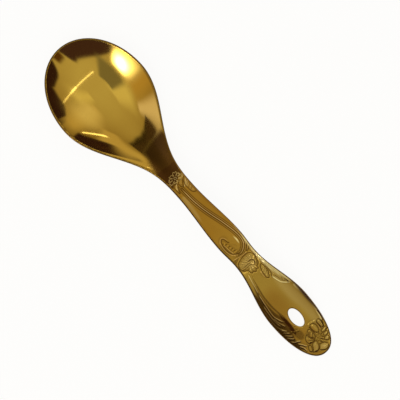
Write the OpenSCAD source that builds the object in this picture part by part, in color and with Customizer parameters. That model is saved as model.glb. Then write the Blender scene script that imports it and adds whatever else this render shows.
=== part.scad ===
// Rice serving spoon: a mirror-polished sheet-metal spoon with a coined floral handle.
// X runs from the bowl's tip to the handle's end, Y across and Z up. The spoon lies at rest
// on its bowl and its handle's end, with the origin under the middle of its length.

/* [Bowl] */
// Widest width across the bowl's rim, edges included
bowl_width = 61; // [50:0.5:72]
// Length from the bowl's tip to its widest place
bowl_nose = 40; // [32:0.5:48]
// Length from the widest place to the narrowest place of the neck
bowl_throat = 73.5; // [60:0.5:90]
// Depth of the hollow below the rim, at the widest place
bowl_depth = 13; // [10:0.5:18]
// Thickness of the bowl's wall
bowl_wall = 1.4; // [1:0.1:2]
// How much lower the rim lies at the tip than at the widest place
tip_drop = 1.2; // [0:0.1:3]

/* [Neck] */
// Width at the narrowest place
neck_width = 11.9; // [10:0.1:15]
// Thickness of the sheet at the narrowest place
neck_thickness = 2.6; // [2:0.1:3.4]
// Height of the upper face at the narrowest place
neck_height = 17.8; // [16:0.2:22]
// Length of the neck towards the bowl, where the bowl ends
neck_lead = 13.5; // [10:0.5:18]
// Length of the neck towards the stem, where the stem starts
neck_tail = 5; // [4:0.5:8]

/* [Handle] */
// Length from the neck's narrowest place to the stem's widest place
stem_rise = 39.5; // [32:0.5:46]
// Width of the stem at its widest place
stem_width = 16.6; // [15:0.2:20]
// Height of the upper face at the stem's widest place, the top of the handle's arch
arch_height = 20.5; // [18:0.5:25]
// Length from the stem's widest place to the waist
stem_fall = 13.5; // [11:0.5:18]
// Width of the waist
waist_width = 15.1; // [14:0.1:17]
// Length from the waist to the grip's widest place
grip_rise = 40; // [34:0.5:48]
// Width of the grip at its widest place
grip_width = 28; // [24:0.2:34]
// Length from the grip's widest place to the handle's end
grip_end = 33.5; // [30:0.5:40]
// Thickness of the handle's sheet, from the stem to its end
handle_thickness = 2; // [1.6:0.1:2.6]
// Radius of the crown across the handle's upper face
crown_radius = 80; // [60:5:140]
// Distance from the middle to where the grip's sides start to fall away
shoulder_start = 5.5; // [5:0.5:9]
// Radius of the grip's falling sides
shoulder_radius = 20; // [16:1:40]

/* [Hanging hole] */
// Length of the oval hole, along the handle
hole_length = 12.6; // [10:0.2:15]
// Width of the oval hole
hole_width = 7; // [6:0.2:9]
// Distance from the hole's middle to the handle's end
hole_setback = 27; // [26:0.2:32]

/* [Relief] */
// Height of the raised ornament above the sheet
relief_height = 0.4; // [0.2:0.05:0.8]
// Width of a raised rib
rib_width = 0.9; // [0.6:0.05:1.1]
// Distance between the ribs that run side by side up the stem
rib_spacing = 1.3; // [1.2:0.05:1.5]
// Radius of the blossom at the neck
neck_blossom_radius = 4.2; // [3:0.1:4.6]
// Width of the leaves beside the neck's blossom
neck_leaf_width = 1.7; // [1:0.1:2]
// Width of the leaf's lobes inside the scroll
scroll_lobe_width = 1.3; // [0.8:0.1:1.5]
// Radius of the blossom at the waist
waist_blossom_radius = 6; // [4.5:0.1:6.4]
// Width of the leaves beside the waist's blossom
waist_leaf_width = 3.2; // [2:0.1:3.6]
// Radius of the blossom at the handle's end
end_blossom_radius = 7; // [5:0.1:7.4]
// Width of the leaves beside the end's blossom
end_leaf_width = 2.2; // [1.2:0.1:2.4]
// Clearance between the ornament and the sheet that carries it
seat = 0.03; // [0.02:0.01:0.06]

/* [Hidden] */
gold = [0.72, 0.55, 0.18];
pale_gold = [0.82, 0.66, 0.28];

// Stations along the length, from the bowl's tip
belly_x = bowl_nose;
neck_x = belly_x + bowl_throat;
swell_x = neck_x + stem_rise;
waist_x = swell_x + stem_fall;
grip_x = waist_x + grip_rise;
end_x = grip_x + grip_end;
hole_x = end_x - hole_setback;
bowl_end_x = neck_x - neck_lead;
stem_start_x = neck_x + neck_tail;
stations = [[0, 0], [1, belly_x], [2, neck_x], [3, swell_x], [4, waist_x], [5, grip_x], [6, end_x]];

// How long the hollow's floor stays low before it climbs to the neck, where 1 is an even wave
floor_power = 1.1;
// How much flatter the hollow's walls come up to the rim by the neck, where 0 keeps the bowl's curve
rim_ease = 0.5;
// Sharpness of the shoulder from the bowl to the neck
shoulder_power = 1.3;
// Fullness of the handle's rounded end, where 2 is an ellipse
end_power = 2.2;
// Slope at which the handle comes down to its end
end_fall = 0.14;

// The upper face lies inside the rounded edge, which leans out with the wall's slope
function rolled(half_span) =
    bowl_wall * (1 + sin(atan(2 * bowl_depth / half_span))) / 2;
bowl_half = bowl_width / 2 - rolled(bowl_width / 2);
nose_length = bowl_nose - rolled(bowl_nose);

// On the handle the edge leans in, as the crown's sides and the handle's end fall away
function fall(y) = y / crown_radius + max(y - shoulder_start, 0) / shoulder_radius;
function face_half(width, sheet) = width / 2 - sheet * (1 - sin(atan(fall(width / 2)))) / 2;
neck_half = face_half(neck_width, neck_thickness);
stem_half = face_half(stem_width, handle_thickness);
waist_half = face_half(waist_width, handle_thickness);
grip_half = face_half(grip_width, handle_thickness);
end_length = grip_end - handle_thickness * (1 - sin(atan(end_fall))) / 2;

// The line along the rim and the middle of the handle: place, height and slope
rim_height = bowl_wall + bowl_depth;
spine = [
    [belly_x - nose_length, rim_height - tip_drop, 0.06],
    [belly_x, rim_height, 0],
    [neck_x, neck_height, 0.07],
    [swell_x, arch_height, -0.02],
    [grip_x + end_length, handle_thickness, -end_fall]
];

// Facets: columns across the sheet, steps round its edge, and spacing of its sections
columns = 22;
edge_steps = 4;
nose_steps = 14;
end_steps = 12;
throat_spacing = 4;
handle_spacing = 3;
curve_steps = 3;
leaf_steps = 5;
// Angle between the corners of the hole's oval
hole_turn = 9;
// How blunt the ends of ribs and leaves are, from 1, a smooth taper, towards 0, square
rib_bluntness = 0.3;
leaf_bluntness = 0.9;
// How far round its swell a rib or leaf is cut off, as an angle from its tip
tip_cut = 12;
// A short step, to measure slopes
tick = 0.01;

function unit(v) = v / norm(v);
function ease(a, b, t) = a + (b - a) * (1 - cos(180 * t)) / 2;
function shoulder(t) = pow((1 + cos(180 * t)) / 2, shoulder_power);

// Half width of the upper face at a place along the length
function half_width(x) =
    x < belly_x ? bowl_half * sqrt(max(0, 1 - pow((belly_x - x) / nose_length, 2)))
    : x < neck_x ? neck_half + (bowl_half - neck_half) * shoulder((x - belly_x) / bowl_throat)
    : x < swell_x ? ease(neck_half, stem_half, (x - neck_x) / stem_rise)
    : x < waist_x ? ease(stem_half, waist_half, (x - swell_x) / stem_fall)
    : x < grip_x ? ease(waist_half, grip_half, (x - waist_x) / grip_rise)
    : grip_half * pow(max(0, 1 - pow((x - grip_x) / end_length, end_power)), 1 / end_power);

// Direction in plan that points out of the outline, on one side of the spoon
function outward(x, side) =
    x < belly_x ? unit([(x - belly_x) / pow(nose_length, 2), side * half_width(x) / pow(bowl_half, 2)])
    : x <= grip_x ? unit([(half_width(x - tick) - half_width(x + tick)) / (2 * tick), side])
    : unit([
        pow((x - grip_x) / end_length, end_power - 1) / end_length,
        side * pow(half_width(x) / grip_half, end_power - 1) / grip_half
    ]);

// Cubic curve between two rows of the spine
function hermite(a, b, x) =
    let (
        run = b[0] - a[0],
        t = (x - a[0]) / run,
        s = 1 - t
    )
    a[1] * s * s * (1 + 2 * t) + b[1] * t * t * (3 - 2 * t)
    + run * (a[2] * t * s * s - b[2] * t * t * s);
function spine_height(x, i = 0) =
    i == len(spine) - 2 || x < spine[i + 1][0]
        ? hermite(spine[i], spine[i + 1], x)
        : spine_height(x, i + 1);

// How far the bowl still reaches past the widest place, in width and in depth, from 1 to 0
function throat(x) = x < belly_x ? 1 : x < neck_x ? shoulder((x - belly_x) / bowl_throat) : 0;
function throat_depth(x) = ease(1, 0, pow((x - belly_x) / bowl_throat, floor_power));

// Share of the throat's depth across it: 1 in the middle and 0 on the rim
function throat_curve(x, y) =
    let (share = 1 - pow(y / half_width(x), 2))
    sign(share) * pow(abs(share), 1 + rim_ease * (1 - throat(x)));

// Share of the hollow's depth: 1 over the floor and 0 on the rim
function hollow(x, y) =
    x < belly_x ? 1 - pow((belly_x - x) / nose_length, 2) - pow(y / bowl_half, 2)
    : x < neck_x ? throat_depth(x) * throat_curve(x, y)
    : 0;

// How far the handle's crown falls away from its middle line
function crown(x, y) =
    pow(1 - throat(x), 3)
    * (pow(y, 2) / crown_radius + pow(max(abs(y) - shoulder_start, 0), 2) / shoulder_radius) / 2;

// Height of the upper face, and its slopes along and across
function top_height(x, y) = spine_height(x) - bowl_depth * hollow(x, y) - crown(x, y);
function top_slope(x, y) = [
    (top_height(x + tick, y) - top_height(x - tick, y)) / (2 * tick),
    (top_height(x, y + tick) - top_height(x, y - tick)) / (2 * tick)
];

// Thickness of the sheet
function thickness(x) =
    let (thin_x = neck_x - 2 * neck_lead)
    x < thin_x ? bowl_wall
    : x < neck_x ? ease(bowl_wall, neck_thickness, (x - thin_x) / (neck_x - thin_x))
    : x < swell_x ? ease(neck_thickness, handle_thickness, (x - neck_x) / stem_rise)
    : handle_thickness;

// A point over the upper face, and the direction that points up out of it
function over_top(x, y, height = 0) = [x - end_x / 2, y, top_height(x, y) + height];
function normal(x, y) =
    let (slope = top_slope(x, y))
    unit([-slope[0], -slope[1], 1]);

// Points round the half-round edge on one side, from the upper face to the lower one
function edge(x, side) =
    let (
        y = side * half_width(x),
        up = normal(x, y),
        plan = outward(x, side),
        out = unit([plan[0], plan[1], top_slope(x, y) * plan]),
        radius = thickness(x) / 2
    )
    [
        for (i = [1 : edge_steps - 1])
            let (turn = 180 * i / edge_steps)
            over_top(x, y) + radius * ((cos(turn) - 1) * up + sin(turn) * out)
    ];

// One closed cross-section of the sheet: upper face, edge, lower face, edge
function section(x) =
    let (
        across = [for (j = [0 : columns]) half_width(x) * (2 * j / columns - 1)],
        left = edge(x, -1)
    )
    concat(
        [for (y = across) over_top(x, y)],
        edge(x, 1),
        [
            for (j = [columns : -1 : 0])
                over_top(x, across[j]) - thickness(x) * normal(x, across[j])
        ],
        [for (i = [edge_steps - 2 : -1 : 0]) left[i]]
    );

// Numbers in a cross-section of the lower face's points
lower_first = columns + edge_steps;
lower_last = lower_first + columns;
ring_size = lower_last + edge_steps;

// Where a cross-section closes to a point in plan, its two sides share their points
function shared(k) =
    k <= columns ? 0
    : k < lower_first ? k
    : k <= lower_last ? lower_first
    : lower_first + lower_last - k;

// The end of a stretch of sheet: strips between the faces and a fan at each edge
cut_faces = concat(
    [
        for (k = [0 : columns - 1])
            each [[k + 1, k, lower_last - k], [k + 1, lower_last - k, lower_last - k - 1]]
    ],
    [for (k = [columns + 1 : lower_first - 1]) [columns, k + 1, k]],
    [for (k = [lower_last : ring_size - 2]) [0, k + 1, k]]
);

// A stretch of the sheet through cross-sections, closed at its cut ends and pointed tips
module sheet(places, tip_first = false, tip_last = false) {
    last = len(places) - 1;
    function at(i, k) =
        i * ring_size + ((i == 0 && tip_first) || (i == last && tip_last) ? shared(k) : k);
    faces = [
        for (i = [0 : last - 1], k = [0 : ring_size - 1])
            let (next = (k + 1) % ring_size)
            each [
                [at(i, k), at(i, next), at(i + 1, next)],
                [at(i, k), at(i + 1, next), at(i + 1, k)]
            ]
    ];
    polyhedron(
        [for (x = places) each section(x)],
        concat(
            [for (f = faces) if (f[0] != f[1] && f[1] != f[2] && f[2] != f[0]) f],
            tip_first ? [] : cut_faces,
            tip_last ? [] : [for (f = cut_faces) [for (k = [2 : -1 : 0]) last * ring_size + f[k]]]
        )
    );
}

// Even steps from one place to another, no wider than the spacing
function steps(from, to, spacing) =
    let (count = ceil((to - from) / spacing))
    [for (i = [0 : count]) from + (to - from) * i / count];

module bowl() {
    nose = [for (i = [0 : nose_steps - 1]) belly_x - nose_length * cos(90 * i / nose_steps)];
    color(gold) sheet(concat(nose, steps(belly_x, bowl_end_x, throat_spacing)), tip_first = true);
}

module neck() {
    color(gold) sheet(steps(bowl_end_x, stem_start_x, handle_spacing));
}

module stem() {
    color(gold) sheet(steps(stem_start_x, waist_x, handle_spacing));
}

module grip() {
    end = [for (i = [1 : end_steps]) grip_x + end_length * pow(sin(90 * i / end_steps), 2 / end_power)];
    color(gold) difference() {
        sheet(concat(steps(waist_x, grip_x, handle_spacing), end), tip_last = true);
        translate([hole_x - end_x / 2, 0, 0])
            linear_extrude(height = arch_height)
                polygon([
                    for (turn = [hole_turn / 2 : hole_turn : 360])
                        [hole_length * cos(turn), hole_width * sin(turn)] / 2
                ]);
    }
}

// Ornament is drawn over the upper face: a place is [station, share of the half width]
function spot(place) =
    let (x = lookup(place[0], stations))
    [x, place[1] * half_width(x)];

// Smooth curve through spots in plan
function smooth_between(a, b, c, d, t) =
    b + t * ((c - a) / 2 + t * (a - 2.5 * b + 2 * c - d / 2 + t * (1.5 * (b - c) + (d - a) / 2)));
function smooth(spots) =
    let (last = len(spots) - 1)
    [
        for (i = [0 : last - 1], j = [0 : curve_steps - 1])
            smooth_between(
                spots[max(i - 1, 0)], spots[i], spots[i + 1], spots[min(i + 2, last)], j / curve_steps
            ),
        spots[last]
    ];

// Direction across a curve, to its left
function across(curve, i) =
    let (run = unit(curve[min(i + 1, len(curve) - 1)] - curve[max(i - 1, 0)]))
    [-run[1], run[0]];

// A curve moved sideways
function beside(curve, offset) =
    [for (i = [0 : len(curve) - 1]) curve[i] + offset * across(curve, i)];

// A raised strand along a curve, as rings of 4 points from its right foot to its left one. Its
// underside is flat, so it lies over the crown that swells under its middle
function strand(curve, width, bluntness) =
    let (
        last = len(curve) - 1,
        foot = seat + pow(width, 2) / 8 * (1 / crown_radius + 1 / shoulder_radius)
    )
    [
        for (i = [0 : last])
            let (
                swell = pow(sin(tip_cut + (180 - 2 * tip_cut) * i / last), bluntness),
                side = across(curve, i) * swell * width / 2
            )
            [
                for (k = [[-1, 0], [-0.5, 1], [0.5, 1], [1, 0]])
                    let (p = curve[i] + k[0] * side)
                    over_top(p[0], p[1], foot + k[1] * swell * relief_height)
            ]
    ];
function rib(places) = strand(smooth([for (p = places) spot(p)]), rib_width, rib_bluntness);
function leaf_between(from, to, width) =
    strand([for (i = [0 : leaf_steps]) from + (to - from) * i / leaf_steps], width, leaf_bluntness);
function leaf(from, to, width) = leaf_between(spot(from), spot(to), width);

// Petals round a middle: each has a direction, and its start, reach and width in radii
function blossom(middle, radius, petals) =
    [
        for (p = petals)
            let (
                way = [cos(p[0]), sin(p[0])],
                heart = spot(middle)
            )
            leaf_between(heart + way * radius * p[1], heart + way * radius * p[2], radius * p[3])
    ];

// Separate raised strands as closed solids
module raised(strands) {
    strand_faces = [[3, 2, 1], [3, 1, 0]];
    starts = [for (i = 0, n = 0; i < len(strands); n = n + 4 * len(strands[i]), i = i + 1) n];
    color(pale_gold) polyhedron(
        [for (s = strands, r = s) each r],
        [
            for (i = [0 : len(strands) - 1])
                let (last = len(strands[i]) - 1)
                each concat(
                    [
                        for (j = [0 : last - 1], k = [0 : 3])
                            let (
                                a = starts[i] + 4 * j + k,
                                b = starts[i] + 4 * j + (k + 1) % 4
                            )
                            each [[a, b, b + 4], [a, b + 4, a + 4]]
                    ],
                    [for (f = strand_faces) [for (k = f) starts[i] + k]],
                    [for (f = strand_faces) [for (k = [2 : -1 : 0]) starts[i] + 4 * last + f[k]]]
                )
        ]
    );
}

module neck_sprig() {
    petals = [for (i = [0 : 9]) [36 * i + 18, 0.36, i % 5 == 2 || i % 5 == 1 ? 1.05 : 0.85, 0.32]];
    raised(concat(
        blossom([1.86, 0], neck_blossom_radius, petals),
        [
            leaf([1.91, 0.5], [2.08, 0.86], neck_leaf_width),
            leaf([1.92, 0.2], [2.03, 0.42], neck_leaf_width),
            leaf([1.91, -0.4], [2.0, -0.72], neck_leaf_width)
        ]
    ));
}

// Three ribs run up the stem side by side, and the outer one closes round the scroll's leaf
module stem_scroll() {
    run = [
        [2.05, -0.1], [2.2, 0], [2.36, 0.15], [2.59, 0.46], [2.82, 0.66],
        [2.98, 0.74], [3.26, 0.68], [3.52, 0.4], [3.6, 0], [3.54, -0.4]
    ];
    hook = [[3.32, -0.72], [2.98, -0.66], [2.9, -0.36], [2.94, -0.12]];
    middle = smooth([for (p = run) spot(p)]);
    raised([
        strand(beside(middle, rib_spacing), rib_width, rib_bluntness),
        strand(smooth([for (p = concat(run, hook)) spot(p)]), rib_width, rib_bluntness),
        strand(beside(middle, -rib_spacing), rib_width, rib_bluntness)
    ]);
}

// Lobes of the leaf inside the scroll, from its root to its tip
module scroll_leaf() {
    raised([
        leaf([3.36, -0.34], [3.26, -0.02], scroll_lobe_width),
        leaf([3.28, -0.44], [3.14, -0.12], scroll_lobe_width),
        leaf([3.18, -0.48], [3.04, -0.22], scroll_lobe_width),
        leaf([3.06, -0.53], [2.95, -0.34], scroll_lobe_width)
    ]);
}

// A ridged fan on the stem's side, ruffled lobes on the grip's side
module waist_blossom() {
    fan = [for (i = [0 : 4]) [152 + 25 * i, 0.38, 0.84 + 0.07 * i, 0.22]];
    lobes = [for (i = [0 : 4]) [-82 + 25 * i, 0.42, 0.88, 0.22]];
    crest = [for (i = [0 : 2]) [48 + 36 * i, 0.38, 0.72, 0.26]];
    raised(blossom([4.11, 0.19], waist_blossom_radius, concat(fan, lobes, crest)));
}

module waist_leaves() {
    raised([
        leaf([4.24, 0.62], [4.48, 0.3], waist_leaf_width),
        leaf([4.18, 0.86], [4.56, 0.84], waist_leaf_width / 2),
        leaf([4.47, 0.56], [4.67, 0.7], waist_leaf_width / 2),
        rib([[3.76, 0.9], [3.92, 0.9], [4.1, 0.88]]),
        rib([[3.86, 0.5], [3.855, 0], [3.84, -0.4], [3.8, -0.8]])
    ]);
}

// Ribs along the lower edge of the grip
module edge_ribs() {
    raised([
        rib([[4.28, -0.5], [4.45, -0.58], [4.62, -0.6], [4.83, -0.5], [5.05, -0.4]]),
        rib([[4.44, -0.74], [4.69, -0.76], [4.93, -0.73], [5.04, -0.68], [5.13, -0.57]]),
        rib([[4.54, -0.88], [4.78, -0.87], [5.04, -0.8], [5.2, -0.7]]),
        rib([[4.76, -0.96], [4.9, -0.94], [5.08, -0.91]])
    ]);
}

// Strands that flow from the edge to the end's blossom
module edge_strands() {
    raised([
        rib([[5.15, -0.96], [5.24, -0.88], [5.33, -0.75], [5.4, -0.68]]),
        rib([[5.27, -0.97], [5.38, -0.92], [5.45, -0.82], [5.5, -0.66], [5.57, -0.58]]),
        rib([[5.46, -0.95], [5.52, -0.84], [5.6, -0.73], [5.71, -0.7]]),
        rib([[5.58, -0.95], [5.66, -0.87], [5.76, -0.9]])
    ]);
}

module end_blossom() {
    petals = [
        [-5, 0.6, 1.28, 0.6], [45, 0.5, 1.1, 0.42], [95, 0.4, 0.72, 0.42],
        [148, 0.45, 1.2, 0.5], [190, 0.5, 1.05, 0.4], [228, 0.45, 1, 0.45], [-54, 0.5, 1.15, 0.52]
    ];
    stamens = [for (i = [0 : 6]) [20 + 51 * i, 0.12, 0.4, 0.12]];
    raised(blossom([5.69, 0.12], end_blossom_radius, concat(petals, stamens)));
}

module end_leaves() {
    raised([
        leaf([5.5, 0.85], [5.62, 0.83], end_leaf_width),
        leaf([5.48, 0.65], [5.58, 0.64], end_leaf_width / 2),
        leaf([5.67, 0.86], [5.77, 0.8], end_leaf_width),
        rib([[5.43, 0.62], [5.41, 0.36], [5.43, 0.12]])
    ]);
}

bowl();
neck();
stem();
grip();
neck_sprig();
stem_scroll();
scroll_leaf();
waist_blossom();
waist_leaves();
edge_ribs();
edge_strands();
end_blossom();
end_leaves();
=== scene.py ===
"""Rice serving spoon: a mirror-polished, gold-coated steel spoon with a coined floral handle.

The spoon is one sheet of metal. Its bowl, neck, stem and grip are made here as four stretches of
that sheet, with the ornament raised out of its upper face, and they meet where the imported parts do.
"""

import math
from typing import NamedTuple

import bmesh
import bpy
import numpy as np
from bpy.props import FloatProperty, FloatVectorProperty, PointerProperty
from mathutils import Matrix, Vector


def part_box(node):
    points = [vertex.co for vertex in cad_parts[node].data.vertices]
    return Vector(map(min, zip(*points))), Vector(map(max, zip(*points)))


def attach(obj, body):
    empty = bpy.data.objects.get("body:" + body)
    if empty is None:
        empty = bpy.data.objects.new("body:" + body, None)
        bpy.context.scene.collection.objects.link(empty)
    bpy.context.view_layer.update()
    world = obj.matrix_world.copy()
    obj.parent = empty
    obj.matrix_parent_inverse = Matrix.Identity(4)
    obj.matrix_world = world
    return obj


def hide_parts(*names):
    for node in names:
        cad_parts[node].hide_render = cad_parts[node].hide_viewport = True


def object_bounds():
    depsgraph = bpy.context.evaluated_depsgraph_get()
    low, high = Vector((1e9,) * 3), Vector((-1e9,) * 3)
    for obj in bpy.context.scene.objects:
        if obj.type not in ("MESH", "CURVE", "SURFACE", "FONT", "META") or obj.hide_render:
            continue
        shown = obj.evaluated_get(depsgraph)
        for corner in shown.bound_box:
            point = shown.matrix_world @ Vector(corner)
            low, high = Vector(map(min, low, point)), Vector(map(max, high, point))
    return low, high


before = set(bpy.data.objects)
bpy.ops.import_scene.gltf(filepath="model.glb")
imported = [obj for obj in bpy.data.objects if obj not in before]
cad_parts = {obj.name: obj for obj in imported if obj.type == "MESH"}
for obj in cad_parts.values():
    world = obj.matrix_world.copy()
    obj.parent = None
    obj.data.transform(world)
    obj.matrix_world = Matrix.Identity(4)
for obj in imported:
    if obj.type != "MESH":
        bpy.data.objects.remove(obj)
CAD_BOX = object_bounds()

bl_info = {
    "name": "Rice Serving Spoon",
    "version": (1, 0, 0),
    "blender": (4, 5, 0),
    "location": "View3D > Sidebar > Spoon",
    "description": "Models a gold-coated serving spoon with a coined floral handle",
    "category": "Add Mesh",
}

MM = 0.001

# Ends of the stretches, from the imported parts
TIP_X = CAD_BOX[0].x
BOWL_END_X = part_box("bowl")[1].x
NECK_END_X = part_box("neck")[1].x
STEM_END_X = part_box("stem")[1].x
FLOOR_Z = CAD_BOX[0].z


def linear(hex_colour):
    """Scene-linear red, green and blue of an sRGB hex colour."""
    parts = [int(hex_colour[i:i + 2], 16) / 255 for i in (1, 3, 5)]
    return [p / 12.92 if p <= 0.04045 else ((p + 0.055) / 1.055) ** 2.4 for p in parts]


def length(label, about, value):
    """A length property, in metres."""
    return FloatProperty(name=label, description=about, default=value, unit="LENGTH", precision=5)


def angle(label, about, degrees):
    """An angle property, written in degrees."""
    return FloatProperty(name=label, description=about, default=math.radians(degrees), subtype="ANGLE")


def colour(label, about, hex_colour):
    """A colour property, written as an sRGB hex value."""
    return FloatVectorProperty(
        name=label, description=about, default=linear(hex_colour), subtype="COLOR", min=0, max=1)


class SpoonSizes(bpy.types.PropertyGroup):
    """Sizes of the sheet that the spoon is formed from."""

    bowl_width: length("Bowl width", "Widest width across the rim", 61 * MM)
    bowl_nose: length("Bowl nose", "From the bowl's tip to its widest place", 40 * MM)
    bowl_throat: length("Bowl throat", "From the widest place to the narrowest of the neck", 73.5 * MM)
    bowl_depth: length("Bowl depth", "Depth of the hollow below the rim", 13 * MM)
    bowl_wall: length("Bowl wall", "Thickness of the bowl's wall", 1.4 * MM)
    tip_drop: length("Tip drop", "How much lower the rim lies at the tip", 1.2 * MM)
    neck_width: length("Neck width", "Width at the narrowest place", 11.9 * MM)
    neck_thickness: length("Neck thickness", "Thickness at the narrowest place", 2.6 * MM)
    neck_height: length("Neck height", "Height of the neck's upper face", 17.8 * MM)
    neck_lead: length("Neck lead", "From the end of the bowl to the narrowest place", 13.5 * MM)
    stem_rise: length("Stem rise", "From the neck to the stem's widest place", 39.5 * MM)
    stem_width: length("Stem width", "Width of the stem at its widest place", 16.6 * MM)
    arch_height: length("Arch height", "Height of the handle's arch", 20.5 * MM)
    stem_fall: length("Stem fall", "From the stem's widest place to the waist", 13.5 * MM)
    waist_width: length("Waist width", "Width of the waist", 15.1 * MM)
    grip_rise: length("Grip rise", "From the waist to the grip's widest place", 40 * MM)
    grip_width: length("Grip width", "Width of the grip at its widest place", 28 * MM)
    grip_end: length("Grip end", "From the grip's widest place to the handle's end", 33.5 * MM)
    handle_thickness: length("Handle thickness", "Thickness of the handle's sheet", 2 * MM)
    crown_radius: length("Crown radius", "Radius of the crown across the handle", 80 * MM)
    shoulder_start: length("Shoulder start", "From the middle to where the sides fall away", 5.5 * MM)
    shoulder_radius: length("Shoulder radius", "Radius of the grip's falling sides", 20 * MM)
    hole_length: length("Hole length", "Length of the hanging hole", 12.6 * MM)
    hole_width: length("Hole width", "Width of the hanging hole", 7 * MM)
    hole_setback: length("Hole setback", "From the hole's middle to the handle's end", 27 * MM)
    hole_round: length("Hole rounding", "Radius of the hole's rounded edges", 0.45 * MM)


class SpoonOrnament(bpy.types.PropertyGroup):
    """Sizes of the coined ornament."""

    rib_height: length("Rib height", "Height of the raised ribs and strands", 0.2 * MM)
    leaf_height: length("Leaf height", "Height of the leaves", 0.17 * MM)
    petal_height: length("Petal height", "Height of the petals", 0.15 * MM)
    vein_depth: length("Vein depth", "Depth of the veins and valleys", 0.12 * MM)
    softness: length("Softness", "How far polishing has rounded the ornament", 0.14 * MM)
    edge_margin: length("Edge margin", "Width along the edge where the ornament fades out", 0.9 * MM)


class SpoonFinish(bpy.types.PropertyGroup):
    """Colours and gloss of the metal."""

    gold: colour("Gold", "Colour of the coated steel in the bowl", "#C3A249")
    # Darker golds for the stem and the grip: painted shade for the dimmer surroundings that the handle
    # mirrors
    shaded_gold: colour("Deep gold", "Colour along the stem, where the coating is thickest", "#A2772A")
    shaded_grip_gold: colour("Grip gold", "Colour of the grip", "#A0823A")
    # Painted shade: dark colour in the ornament's hollows, in dark patches and along the cut edges
    painted_shade: colour("Recess", "Colour in the hollows of the ornament", "#40230F")
    # Painted highlight on the ornament's crests
    crest: colour("Crest", "Colour on the crests of the ornament", "#D3AB74")
    # Painted highlight: pale colour on patches, edges and lips of the ornament
    sheen: colour("Polish", "Colour where the coating is polished thin", "#F3E4AE")
    roughness: FloatProperty(
        name="Roughness", description="Roughness of the polished face", default=0.07, min=0, max=1)


class SpoonStage(bpy.types.PropertyGroup):
    """The camera and the plain studio round the spoon."""

    camera_distance: length("Camera distance", "From the camera to the middle of the picture", 1.43)
    view_width: length("View width", "Width of the picture at the spoon", 236.9 * MM)
    view_turn: angle("View turn", "Turn of the picture about the line of sight", 48.6)
    lean_x: angle("Lean along", "Lean of the line of sight from the vertical, along the spoon", 3.7)
    lean_y: angle("Lean across", "Lean of the line of sight from the vertical, across the spoon", -3.5)
    view_x: length("View centre X", "Middle of the picture, along the spoon", 3.2 * MM)
    view_y: length("View centre Y", "Middle of the picture, across the spoon", 3.2 * MM)
    floor_colour: colour("Floor", "Colour of the floor", "#F7F7F7")


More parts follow.
